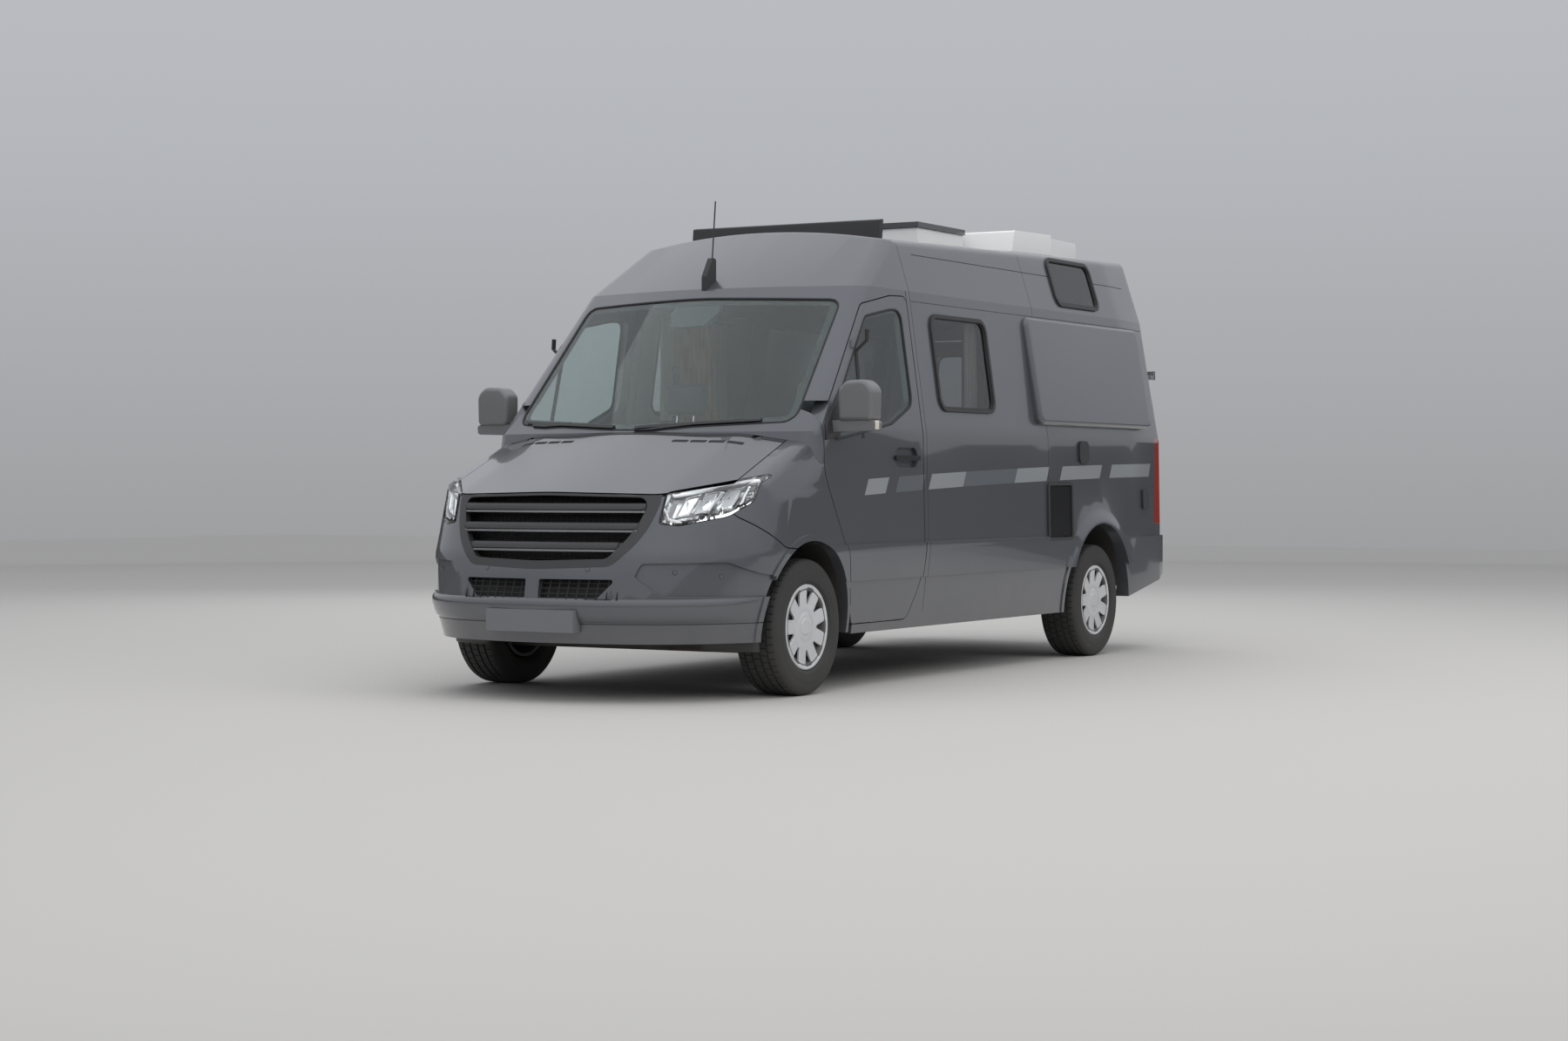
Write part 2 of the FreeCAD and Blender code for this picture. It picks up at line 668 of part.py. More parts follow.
# Service hatch: fixed ring with a lid hinged at its front edge
RING = y_from_axle([(2875, 730, 30), (3240, 730, 30), (3240, 1082, 30), (2875, 1082, 30)])
LID = y_from_axle([(2904, 756, 12), (3214, 756, 12), (3214, 1056, 12), (2904, 1056, 12)])
ring_zone = prism("ring_zone", "YZ", RING, 500, WIDE)
lid_zone = prism("lid_zone", "YZ", LID, 500, WIDE)
lid_hole = prism("lid_hole", "YZ", grown(RING, -20), 500, WIDE)
ring_layer = layer("ring_layer", cabin, -d.trim_proud, 16)
flap_layer = layer("flap_layer", cabin, -4, 16)
hatch_back = cut("hatch_back", ring_zone, cabin("hatch_floor", 24))
flap_y = front_axle + 2916
flap_x = d.moulding_half - 6
hatch_ring = cut("hatch_ring", common("hatch_ring_piece", ring_layer, ring_zone), lid_hole)
flap_pins = []
for number, low in enumerate((744, 1044)):
    flap_pins.append(rod(f"flap_pin_{number}", "z", 2.5, (flap_x, flap_y, low), 24))
part("hatch_frame", fuse("hatch_frame_set", hatch_ring, *flap_pins))
flap_bores = []
for number, low in enumerate((744, 1038)):
    flap_bores.append(rod(f"flap_bore_{number}", "z", 2.8, (flap_x, flap_y, low), 30))
part("service_flap", cut("service_flap_piece",
                         common("flap_piece", flap_layer, lid_zone), *flap_bores))

# Rounded bulges that widen the bed, one on each side, hollow behind
POD_FRONT = [(1038, 1424), (926, 2070), (760, 2070), (760, 1424)]
POD_SIDE = y_from_axle([(2745, 1424, 60), (4470, 1424, 60), (4470, 2068, 60), (2745, 2068, 60)])


def pod_edge(middle, angle):
    return middle.x > 915 and angle > 40


def pod(name, shrink):
    front = prism(name + "_front", "XZ", grown(POD_FRONT, -shrink), front_axle + 2700,
                  front_axle + 4500)
    side = prism(name + "_side", "YZ", grown(POD_SIDE, -shrink), 700, WIDE)
    return common(name, front, side)


pod_out = soften("pod_out", pod("pod_form", 0), 26, pod_edge)
pod_space = pod("pod_space", 16)
pods = cut("pod_left", pod_out, cabin_out, pod_space)
part("side_pods", pair("pod_pair", pods))

# Fine grooves: panel joints behind the front door and ahead of the rear corner, gutter lines
slabs = [
    block("seam_front", (-WIDE, WIDE), (front_axle + 1297, front_axle + 1301), (380, 2460)),
    block("seam_rear", (-WIDE, WIDE), (front_axle + 2904, front_axle + 2908), (1100, 2620)),
    block("gutter_low", (-WIDE, WIDE), (front_axle + 1296, 2900), (2072, 2077)),
    block("roof_ledge", (-WIDE, WIDE), (front_axle + 1450, 2560), (2343, 2348)),
]
grooves = cut("grooves", fuse("slab_set", *slabs), cabin("groove_floor", 4))
side_left = cut("side_left_piece", common("side_left_skin", skin, wall_zone),
                arches["rear"], pane_side_rim, portal, rear_hole, bumper_rear_zone,
                tail_zone, hatch_back, pod_space, grooves)
hinge_x = 880
rear_hinge_y = 2926
fixed_knuckles = []
moving_knuckles = []
for word, low, depth, edge, back in (("low", 750, 2868, 800, 2896), ("high", 1762, 2778, 735, 2868)):
    fixed_knuckles += [
        rod(f"knuckle_{word}", "z", 9, (hinge_x, rear_hinge_y, low), 28),
        block(f"strap_{word}", (hinge_x - 7, hinge_x + 7), (depth, rear_hinge_y - 4),
              (low, low + 28)),
        rod(f"hinge_pin_{word}", "z", d.hinge_bore - d.pin_gap, (hinge_x, rear_hinge_y, low + 20),
            38)]
    leaf = fuse(f"leaf_{word}",
                rod(f"barrel_{word}", "z", 9, (hinge_x, rear_hinge_y, low + 28.3), 28),
                block(f"leaf_plate_{word}", (edge, hinge_x), (2914, 2925),
                      (low + 28.3, low + 56.3)),
                block(f"leaf_root_{word}", (edge, edge + 42), (back, 2925),
                      (low + 28.3, low + 56.3)))
    moving_knuckles.append(cut(f"leaf_bored_{word}", leaf,
                               rod(f"leaf_bore_{word}", "z", d.hinge_bore,
                                   (hinge_x, rear_hinge_y, low + 10), 60)))
part("side_left", fuse("side_left_set", side_left, *fixed_knuckles))

# Sliding door and the wall round it, right side, drawn on the left and flipped
SLIDE = y_from_axle([(1320, 342, 60), (2560, 342, 60), (2560, 2090, 60), (1320, 2090, 60)])
slide_zone = prism("slide_zone", "YZ", SLIDE, 500, WIDE)
slide_hole = prism("slide_hole", "YZ", grown(SLIDE, gap.value), 500, WIDE)
side_right = cut("side_right_piece", common("side_right_skin", skin, wall_zone),
                 arches["rear"], slide_hole, portal, rear_hole, bumper_rear_zone, tail_zone,
                 pod_space, grooves)
part("side_right", flip("side_right_flip", fuse("side_right_set", side_right, *fixed_knuckles)))
slide_cup = cut("slide_cup", place(group("slide_cup_zone",
                                         prism("slide_cup_outline_zone", "YZ", CUP, 500, WIDE)),
                                   0, 440, 0), cabin("slide_cup_floor", 20))
slide = cut("slide_piece", common("slide_skin", skin, slide_zone), pane_side_rim, slide_cup)
part("sliding_door", flip("sliding_door_flip", slide))
slide_bits = common("slide_bits", on_skin, group("slide_bit_zones",
                    prism("slide_handle_zone", "YZ", y_from_axle([
                        (1348, 1198, 10), (1634, 1198, 10), (1634, 1226, 10),
                        (1348, 1226, 10)]), 500, WIDE),
                    block("rail_zone", (500, WIDE), (front_axle + 2580, front_axle + 4300),
                          (1232, 1268))))

# Small covers on the left wall: air vent and water inlet
covers = common("covers", on_skin, group("cover_zones",
                prism("vent_cover", "YZ", y_from_axle([
                    (3348, 1198, 40), (3489, 1198, 40), (3489, 1334, 40), (3348, 1334, 40)]),
                    500, WIDE),
                prism("inlet_cover", "YZ", y_from_axle([
                    (4371, 912, 16), (4487, 912, 16), (4487, 1038, 16), (4371, 1038, 16)]),
                    500, WIDE)))
part("side_trim", group("side_trim_set", covers, flip("slide_bits_flip", slide_bits)))

# Roof shell with the small high window on the left
roof_zone = block("roof_zone", (-WIDE, WIDE), (-3100, 3100), (top, 2700))
part("roof", cut("roof_piece", common("roof_skin", cabin_wall, roof_zone),
                 pane_high_rim, grooves))
frame_side = cut("frame_side", pane_side_rim, pane_side_zone)
frame_high = cut("frame_high", pane_high_rim, pane_high_zone)
part("window_frames", group("window_frame_set",
                            common("frame_left", trim_band, frame_side),
                            flip("frame_right", common("frame_right_piece", trim_band,
                                                       frame_side)),
                            common("frame_top", trim_band, frame_high)))
part("side_panes", group("side_pane_set",
                         common("pane_left", glazing, pane_side_zone),
                         flip("pane_right", common("pane_right_piece", glazing,
                                                   pane_side_zone)),
                         common("pane_top", glazing, pane_high_zone)))

# Rear doors with their panes, the header and threshold between the rear posts
REAR_PANE = [(110, 1430, 60), (745, 1430, 60), (688, 1950, 60), (110, 1950, 60)]
rear_pane_zone = prism("rear_pane_zone", "XZ", REAR_PANE, 2600, 3100)
rear_half = prism("rear_half", "XZ", [(gap, 745), *rear_edge, (gap, 2050)], 2600, 3100)
rear_leaf = fuse("rear_leaf", cut("rear_leaf_panel",
                                  common("rear_leaf_skin", cabin_wall, rear_half),
                                  rear_pane_zone), *moving_knuckles)
part("rear_door_left", rear_leaf)
part("rear_door_right", flip("rear_door_right_flip", rear_leaf))
part("rear_pane_left", common("rear_pane", glazing, rear_pane_zone))
part("rear_pane_right", flip("rear_pane_flip", parts["rear_pane_left"]))
part("rear_frame", cut("rear_frame_piece", common("rear_frame_skin", cabin_wall, portal),
                       rear_hole, bumper_rear_zone))
part("tail_lamps", pair("tail_lamp_pair", common("tail_lamp", cabin_wall, tail_zone)))
bumper_step = prism("bumper_step", "XY", mirrored([
    (0, 2966, 6000), (940, 2945, 60), (1010, 2700), (1010, 2130), (850, 2130), (850, 2600),
    (0, 2600)]), 350, 733)
part("rear_bumper", cut("rear_bumper_piece",
                        fuse("rear_bumper_whole",
                             common("rear_bumper_skin", skin, bumper_rear_zone),
                             cut("step_shell", bumper_step, cabin_in)), arches["rear"],
                        prism("bumper_slope", "YZ", [(2100, 200), (3100, 200), (3100, 520),
                                                     (2735, 452), (2100, 340)], -WIDE, WIDE)))

# Blank plates, front and rear, on holders that follow the bumpers
part("plates", group("plate_set",
                     cut("plate_front", block("plate_front_block", (-260, 260), (-2992, -2930),
                                              (346, 456)), nose_out),
                     cut("plate_rear", block("plate_rear_block", (-260, 260), (2940, 2973), (540, 650)),
                         bumper_step)))

# Floor with bulkhead, wheel wells cut out
floor_top = d.floor_height
floor_plate = block("floor_plate", (-WIDE, WIDE), (-1720, 3000),
                    (floor_top - d.floor_thick, floor_top))
bulkhead = block("bulkhead", (-WIDE, WIDE), (-1740, -1700), (floor_top - d.floor_thick, 1200))
wells = []
spaces = []
for word, axle, inner, size in (("front", front_axle, 530, d.arch_front),
                                ("rear", rear_axle, 680, d.arch_rear)):
    for side, low, skin_low in (("left", inner, inner + 18), ("right", -WIDE, -WIDE)):
        wells.append(rod(f"well_{word}_{side}", "x", size + 18,
                         (low, axle, arch_height), WIDE - inner))
        spaces.append(rod(f"space_{word}_{side}", "x", size,
                          (skin_low, axle, arch_height), WIDE - inner - 18))
well_space = fuse("well_space", *spaces)
above = block("above", (-WIDE, WIDE), (-2400, 3000), (420, 900))
floor_sheet = cut("floor_sheet", common("floor_inside", floor_plate, hollow), well_space)
bulkhead_sheet = cut("bulkhead_sheet", common("bulkhead_inside", bulkhead, hollow), well_space,
                     floor_plate)
wheelhouses = cut("wheelhouses", common("wells_inside", fuse("wells", *wells), above, hollow),
                  well_space, floor_plate, bulkhead)
part("floor_pan", group("floor_set", floor_sheet, bulkhead_sheet, wheelhouses))

# Underframe: two rails with jack pads, crossmembers, towing sockets front and rear
rail_top = d.rail_bottom + d.rail_height
under = []
for side in (-1, 1):
    middle = d.rail_half * side
    under.append(block(f"rail_{side + 1}", (middle - d.rail_width / 2, middle + d.rail_width / 2),
                       (-2780, 2780), (d.rail_bottom, floor_top - d.floor_thick)))
    for spot in (-1150, 850):
        under.append(block(f"jack_{side + 1}_{spot + 1150}", (middle - 35, middle + 35),
                           (spot - 35, spot + 35), (d.rail_bottom - 10, d.rail_bottom)))
for number, spot in enumerate((-2700, -1250, -350, 550, 1250, 2700)):
    under.append(block(f"cross_{number}", (-d.rail_half, d.rail_half), (spot, spot + 80),
                       (d.rail_bottom + 20, d.rail_bottom + d.rail_height - 20)))
sockets = []
for word, start in (("front", -2785), ("rear", 2700)):
    under.append(block(f"socket_{word}", (400, 460), (start, start + 85),
                       (d.rail_bottom + 5, d.rail_bottom + 65)))
    sockets.append(rod(f"socket_bore_{word}", "y", 12, (430, start - 5, d.rail_bottom + 35), 95))
part("underframe", cut("underframe_set", fuse("underframe_whole", *under), *sockets))

# Engine and gearbox as one heavy block between the rails
part("engine", group("engine_block", block("engine_mass", (-330, 330), (-2500, -1850),
                                           (d.rail_bottom, 900))))

# Front axle: crossbeam with arms out to the hubs; knuckles turn on it
hub = d.hub_height
beam = block("front_beam", (-500, 500), (front_axle - 70, front_axle + 70), (230, 330))
post = block("front_post", (-480, 480), (front_axle - 60, front_axle + 60),
             (330, d.rail_bottom))
arm = block("front_arm", (-820, 820), (front_axle - 40, front_axle + 40), (206, 234))
part("front_axle", fuse("front_axle_set", beam, post, arm))
knuckle = fuse("knuckle_left_set",
               rod("knuckle_pin", "z", 26, (790, front_axle, 234.3), 224),
               rod("front_stub", "x", 33.7, (760, front_axle, hub), d.track / 2 - 760 + 20))
part("knuckle_left", knuckle)
part("knuckle_right", flip("knuckle_right_flip", knuckle))

# Rear axle: tube with drive casing, leaf springs up to the rails
springs = []
for side in (-1, 1):
    middle = d.rail_half * side
    springs.append(block(f"leaf_{side + 1}", (middle - 35, middle + 35),
                         (rear_axle - 620, rear_axle + 620), (395, 425)))
    for end in (-1, 1):
        spot = rear_axle + 580 * end
        springs.append(block(f"shackle_{side + 1}_{end + 1}", (middle - 25, middle + 25),
                             (spot - 25, spot + 25), (410, d.rail_bottom)))
part("rear_axle", fuse("rear_axle_set",
                       rod("axle_tube", "x", 52, (-760, rear_axle, hub), 1520),
                       rod("drive_case", "y", 150, (0, rear_axle - 130, hub), 260),
                       rod("axle_ends", "x", 33.7, (-d.track / 2 + 20, rear_axle, hub),
                           d.track - 40),
                       *springs))

# Exhaust and tanks under the floor
part("exhaust", fuse("exhaust_set",
                     rod("exhaust_pipe", "y", 32, (-250, -1800, 420), 2400),
                     rod("silencer", "y", 95, (-250, -200, 420), 700),
                     block("exhaust_hanger", (-262, -238), (100, 130), (420, 604))))
part("tanks", group("tank_set",
                    block("fuel_tank", (490, 860), (-1000, -150), (330, 604)),
                    block("waste_tank", (-860, -490), (-300, 900), (350, 604))))

# Wheels: one tyre and one rim, set four times; nine spokes and a bolt circle
half = d.tyre_width / 2
TYRE = [
    (d.rim_radius, -half + 22), (d.rim_radius + 24, -half + 4, 10),
    (d.tyre_radius - 40, -half - 6, 40), (d.tyre_radius - 2, -half + 22, 20),
    (d.tyre_radius, 0, 1500), (d.tyre_radius - 2, half - 22, 20),
    (d.tyre_radius - 40, half + 6, 40), (d.rim_radius + 24, half - 4, 10),
    (d.rim_radius, half - 22)]
RIM = [
    (d.rim_radius - 16, -half + 10), (d.rim_radius, -half + 10), (d.rim_radius, half - 10),
    (d.rim_radius - 16, half - 10, 6), (d.rim_radius - 24, half - 40),
    (110, half - 46, 60), (88, half - 30, 8), (34, half - 30), (34, -30), (80, -30),
    (90, half - 84), (d.rim_radius - 40, half - 70), (d.rim_radius - 24, -half + 40)]


def turned(name, drawing):
    """Outline of radius and offset, turned round the wheel's axle line."""
    wheel = doc.addObject("Part::Revolution", name)
    wheel.Source = outline(name + "_outline", "XY", [(c[1], c[0], *c[2:]) for c in drawing])
    wheel.Axis = Vector(1, 0, 0)
    wheel.Base = Vector()
    wheel.Angle = 360
    wheel.Solid = True
    return wheel


def ring_of(name, source, count):
    """The source repeated round the wheel's axle line."""
    copies = []
    for number in range(count):
        copy = group(f"{name}_{number}", source)
        copies.append(place(copy, turn=Rotation(Vector(1, 0, 0), 360 * number / count)))
    return copies


window = prism("rim_window", "YZ", [(-10, 112, 6), (10, 112, 6), (30, 166, 10), (-30, 166, 10)],
               0, 200)
bolt = rod("bolt_hole", "x", 7.5, (-60, 0, d.bolt_circle / 2), 260)
masters = {
    "tyre": turned("tyre_form", TYRE),
    "rim": cut("rim_form", turned("rim_disc", RIM), *ring_of("window", window, 9),
               *ring_of("bolt", bolt, 6)),
}
for word, axle in (("front", front_axle), ("rear", rear_axle)):
    for side, sign in (("left", 1), ("right", -1)):
        for kind, master in masters.items():
            label = f"{kind}_{word}_{side}"
            turn = Rotation() if sign > 0 else Rotation(Vector(0, 0, 1), 180)
            part(label, place(group(label + "_set", master), d.track / 2 * sign, axle, hub,
                              turn))

# Cab: dashboard, steering wheel, seats
dash_zone = prism("dash_zone", "YZ", y_from_axle([
    (247, 900), (560, 960, 60), (600, 1180, 60), (420, 1300, 80), (-60, 1300, 40),
    (-60, 1200), (247, 1200)]), -WIDE, WIDE)
dash_fit = cabin("dash_fit", d.wall + 25)
ring_turn = Rotation(Vector(1, 0, 0), -62)
column = place(rod("column", "z", 35, (0, 0, 0), 129.7), 420, front_axle + 523.4, 1071.1, ring_turn)
part("dashboard", fuse("dashboard_set",
                       cut("dashboard_piece", common("dashboard_reach", dash_zone, dash_fit), wings),
                       column))
ring = doc.addObject("Part::Torus", "ring")
bind(ring, "Radius1", d.wheel_ring)
ring.Radius2 = 16
spokes = fuse("ring_spokes",
              block("spoke_across", (-d.wheel_ring, d.wheel_ring), (-18, 18), (-8, 8)),
              block("spoke_down", (-16, 16), (-d.wheel_ring, 0), (-8, 8)),
              rod("boss", "z", 62, (0, 0, -24), 44),
              rod("shaft", "z", 22, (0, 0, -70), 70))
steering = fuse("steering_set", ring, spokes)
place(steering, 420, front_axle + 700, 1165, ring_turn)
part("steering_wheel", steering)

SEAT = [(0, 780, 40), (520, 740, 60), (540, 880, 60), (140, 900, 60), (20, 1450, 50),
        (-100, 1450, 50)]
seats = []
for side in (-1, 1):
    middle = 430 * side
    shift = front_axle + 1010
    pad = prism(f"seat_pad_{side + 1}", "YZ",
                [(shift - a, b, *r) for a, b, *r in reversed(SEAT)],
                middle - d.seat_width / 2, middle + d.seat_width / 2)
    head = prism(f"seat_head_{side + 1}", "YZ",
                 [(shift + 20, 1440, 30), (shift + 130, 1440, 30), (shift + 150, 1640, 40),
                  (shift + 50, 1640, 40)], middle - 130, middle + 130)
    foot = block(f"seat_foot_{side + 1}", (middle - 200, middle + 200),
                 (shift - 480, shift - 40), (floor_top, 800))
    seats.append(fuse(f"seat_{side + 1}", pad, head, foot))
part("cab_seats", group("cab_seat_set", *seats))

# Living space fittings
cupboard = fuse("cupboard",
                block("kitchen", (380, WIDE), (-250, 900), (floor_top, 1280)),
                block("wardrobe", (450, WIDE), (905, 1300), (floor_top, 2050)),
                block("lockers", (560, WIDE), (-100, 1300), (2140, 2440)))
living = cabin("living", d.wall + 0.3)
part("cabinets", common("cabinets_fit", cupboard, living, cabin_in))
part("bed", common("bed_fit", block("bed_block", (-WIDE, WIDE), (1320, 2700), (1050, 1200)),
                   living))

# Rooflight with a lid hinged at its rear edge, air deflector ahead of it
side = d.lid_side
light_y = 900
curb_top = 2612
curb = cut("curb", block("curb_out", (-side / 2, side / 2), (light_y - side / 2, light_y + side / 2),
                         (2480, curb_top)),
           block("curb_in", (-side / 2 + 40, side / 2 - 40),
                 (light_y - side / 2 + 40, light_y + side / 2 - 40), (2400, 2800)), cabin_out)
part("rooflight_frame", curb)
part("rooflight_lid", group("rooflight_lid_set",
                            block("lid", (-side / 2 - 10, side / 2 + 10),
                                  (light_y - side / 2 - 10, light_y + side / 2 + 10),
                                  (curb_top + 0.5, curb_top + 34))))
part("roof_deflector", cut("deflector", prism("deflector_zone", "YZ", y_from_axle([
    (1462, 2400), (1500, 2400), (1520, 2562, 8), (1478, 2554, 8)]), -615, 615), cabin_out))
part("roof_vents", group("vent_set",
                         cut("vent_middle", prism("vent_middle_zone", "YZ", y_from_axle([
                             (3210, 2500), (3800, 2500), (3800, 2650, 20), (3250, 2638, 20)]),
                             60, 620), cabin_out),
                         cut("vent_back", prism("vent_back_zone", "YZ", y_from_axle([
                             (4200, 2500), (4640, 2500), (4640, 2668, 20), (4240, 2672, 20)]),
                             -80, 420), cabin_out)))
mast = place(rod("mast", "z", 4, (0, 0, 0), 330), 0, -1266, 2290,
             Rotation(Vector(1, 0, 0), -6))
part("aerial", cut("aerial_set", fuse("aerial_parts",
                   prism("aerial_foot", "YZ", [(-1350, 2120), (-1250, 2120), (-1250, 2298, 10),
                                               (-1284, 2306, 10), (-1350, 2200, 20)], -16, 16),
                   mast), cabin_out))

doc.recompute()
for thing in doc.Objects:
    if "Invalid" in thing.State or "Error" in thing.State:
        raise ValueError(f"{thing.Name} did not build")
os.makedirs("parts", exist_ok=True)
for label, made in parts.items():
    if made.Shape.isNull() or not made.Shape.isValid() or not made.Shape.Solids:
        raise ValueError(f"{label} has no sound solid")
    made.Shape.exportStep(f"parts/{label}.step")
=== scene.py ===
import math
from functools import partial
import bpy
import bmesh
from mathutils import Matrix, Vector
from mathutils.bvhtree import BVHTree


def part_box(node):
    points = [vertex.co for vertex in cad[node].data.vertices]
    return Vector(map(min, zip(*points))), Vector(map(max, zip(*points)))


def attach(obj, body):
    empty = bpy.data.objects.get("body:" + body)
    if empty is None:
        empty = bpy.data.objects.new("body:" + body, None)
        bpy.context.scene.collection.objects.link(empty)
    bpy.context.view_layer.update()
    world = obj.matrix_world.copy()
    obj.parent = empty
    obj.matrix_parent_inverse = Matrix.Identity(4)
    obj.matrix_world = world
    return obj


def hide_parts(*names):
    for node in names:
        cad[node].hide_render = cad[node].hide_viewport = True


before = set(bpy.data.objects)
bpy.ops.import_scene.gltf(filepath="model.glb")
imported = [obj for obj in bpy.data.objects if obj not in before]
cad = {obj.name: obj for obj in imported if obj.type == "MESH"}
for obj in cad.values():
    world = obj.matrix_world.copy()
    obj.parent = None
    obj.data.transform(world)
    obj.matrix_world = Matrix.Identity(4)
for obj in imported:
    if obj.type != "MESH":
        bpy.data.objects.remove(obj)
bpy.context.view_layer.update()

scene = bpy.context.scene


# Studio: a plain pale floor, lit by one large soft source overhead, one from the front left, one
# from the left side, one from the back right and a pale sky all round.
def link(mesh_or_data, name):
    """New object for that data, in the scene."""
    made = bpy.data.objects.new(name, mesh_or_data)
    scene.collection.objects.link(made)
    return made


def stitch(bm, rows, closed=False):
    """Faces between neighbouring rows of vertices; closed also joins each row's ends."""
    for one, two in zip(rows, rows[1:]):
        for k in range(len(one) if closed else len(one) - 1):
            after = (k + 1) % len(one)
            bm.faces.new((one[k], one[after], two[after], two[k]))


SIDES = (("left", 1), ("right", -1))
FLOOR_SIZE = 60.0
floor_mesh = bpy.data.meshes.new("studio_floor")
half_floor = FLOOR_SIZE / 2
floor_mesh.from_pydata(
    [(-half_floor, -half_floor, 0), (half_floor, -half_floor, 0),
     (half_floor, half_floor, 0), (-half_floor, half_floor, 0)], [], [(0, 1, 2, 3)])
floor = link(floor_mesh, "studio_floor")
floor_look = bpy.data.materials.new("studio_floor")
floor_look.use_nodes = True
floor_shader = floor_look.node_tree.nodes["Principled BSDF"]
floor_shader.inputs["Base Color"].default_value = (0.44, 0.43, 0.415, 1)
floor_shader.inputs["Roughness"].default_value = 0.85
floor_mesh.materials.append(floor_look)

sky = bpy.data.worlds.new("studio_sky")
sky.use_nodes = True
scene.world = sky
sky_nodes = sky.node_tree.nodes
sky_links = sky.node_tree.links
background = sky_nodes["Background"]
height = sky_nodes.new("ShaderNodeTexCoord")
split = sky_nodes.new("ShaderNodeSeparateXYZ")
fade = sky_nodes.new("ShaderNodeValToRGB")
fade.color_ramp.elements[0].position = 0.46
fade.color_ramp.elements[0].color = (0.40, 0.40, 0.395, 1)
fade.color_ramp.elements[1].position = 0.56
fade.color_ramp.elements[1].color = (0.62, 0.64, 0.68, 1)
zenith = fade.color_ramp.elements.new(0.85)
zenith.color = (1.0, 1.02, 1.06, 1)
shift = sky_nodes.new("ShaderNodeMapRange")
shift.inputs["From Min"].default_value = -1
shift.inputs["From Max"].default_value = 1
sky_links.new(height.outputs["Generated"], split.inputs[0])
sky_links.new(split.outputs["Z"], shift.inputs["Value"])
sky_links.new(shift.outputs["Result"], fade.inputs["Fac"])
sky_links.new(fade.outputs["Color"], background.inputs["Color"])
background.inputs["Strength"].default_value = 0.74


def soft_box(name, place, target, size, power):
    """Rectangular lamp at place, facing target."""
    data = bpy.data.lights.new(name, "AREA")
    data.shape = "RECTANGLE"
    data.size, data.size_y = size
    data.energy = power
    made = link(data, name)
    made.location = place
    made.rotation_euler = (Vector(target) - Vector(place)).to_track_quat("-Z", "Y").to_euler()
    made.visible_glossy = False
    return made


soft_box("overhead_soft_box", (1.0, -1.0, 9.0), (0, 0, 0), (12, 13), 620)
soft_box("front_soft_box", (5.5, -10.0, 6.0), (0, -1, 1), (7, 4), 230)
soft_box("side_soft_box", (10.0, 1.0, 6.0), (0, 0, 1.2), (9, 4), 230)
soft_box("back_soft_box", (-6.0, 8.0, 6.0), (0, 0, 1.2), (8, 4), 230)

# A dark band round the studio that only reflections see, as tall as a hedge
BAND_RADIUS = 22.0
BAND_HIGH = 2.6
band = bmesh.new()
band_rings = [[band.verts.new((BAND_RADIUS * math.cos(math.tau * k / 96),
                               BAND_RADIUS * math.sin(math.tau * k / 96), z))
               for k in range(96)] for z in (0.0, BAND_HIGH)]
stitch(band, band_rings, closed=True)
band_mesh = bpy.data.meshes.new("reflection_band")
band.to_mesh(band_mesh)
band.free()
reflection_band = link(band_mesh, "reflection_band")
band_look = bpy.data.materials.new("reflection_band")
band_look.use_nodes = True
band_shader = band_look.node_tree.nodes["Principled BSDF"]
band_shader.inputs["Base Color"].default_value = (0.06, 0.062, 0.06, 1)
band_shader.inputs["Roughness"].default_value = 1.0
band_mesh.materials.append(band_look)
reflection_band.visible_camera = False
reflection_band.visible_diffuse = False
reflection_band.visible_shadow = False
reflection_band.visible_transmission = False

CAMERA_PLACE = Vector((7.682, -13.852, 1.074))
CAMERA_LOOK = Vector((-0.498, 0.867, 0.0))
camera_data = bpy.data.cameras.new("photo_view")
camera_data.lens = 61.94
camera_data.sensor_width = 36
camera_data.shift_y = -0.0236
camera = link(camera_data, "photo_view")
camera.location = CAMERA_PLACE
camera.rotation_euler = CAMERA_LOOK.to_track_quat("-Z", "Y").to_euler()
scene.camera = camera
scene.view_settings.view_transform = "Standard"


# Body shell: pressed steel panels under anthracite metallic lacquer, with
# silver and pale grey blocks of foil that make a broken stripe along each
# side. The lowest part of the walls is a more satin moulded cladding.
def new_finish(name, colour, roughness, metallic=0.0, **sockets):
    """Material with a Principled shader set to plain values; returns it with its nodes."""
    look = bpy.data.materials.new(name)
    look.use_nodes = True
    shader = look.node_tree.nodes["Principled BSDF"]
    shader.inputs["Base Color"].default_value = (*colour, 1)
    shader.inputs["Roughness"].default_value = roughness
    shader.inputs["Metallic"].default_value = metallic
    for word, value in sockets.items():
        shader.inputs[word.replace("_", " ")].default_value = value
    return look, look.node_tree.nodes, look.node_tree.links, shader


def new_group(name, inputs, outputs):
    """Node group with named float, colour or normal sockets; returns it with its two ends."""
    group = bpy.data.node_groups.new(name, "ShaderNodeTree")
    kinds = {"value": "NodeSocketFloat", "colour": "NodeSocketColor", "normal": "NodeSocketVector"}
    for word, (kind, start) in inputs.items():
        socket = group.interface.new_socket(word, in_out="INPUT", socket_type=kinds[kind])
        if start is not None:
            socket.default_value = start
    for word, kind in outputs.items():
        group.interface.new_socket(word, in_out="OUTPUT", socket_type=kinds[kind])
    return (group, group.nodes, group.links, group.nodes.new("NodeGroupInput"),
            group.nodes.new("NodeGroupOutput"))


def use_group(look, group, **values):
    """Places a node group in a material with its own values."""
    node = look.node_tree.nodes.new("ShaderNodeGroup")
    node.node_tree = group
    for word, value in values.items():
        node.inputs[word.replace("_", " ")].default_value = value
    return node


def math_node(nodes, links, operation, first, second):
    """One sum of two sockets or numbers; returns its result socket."""
    node = nodes.new("ShaderNodeMath")
    node.operation = operation
    for slot_in, value in zip(node.inputs, (first, second)):
        if isinstance(value, (int, float)):
            slot_in.default_value = value
        else:
            links.new(value, slot_in)
    return node.outputs[0]


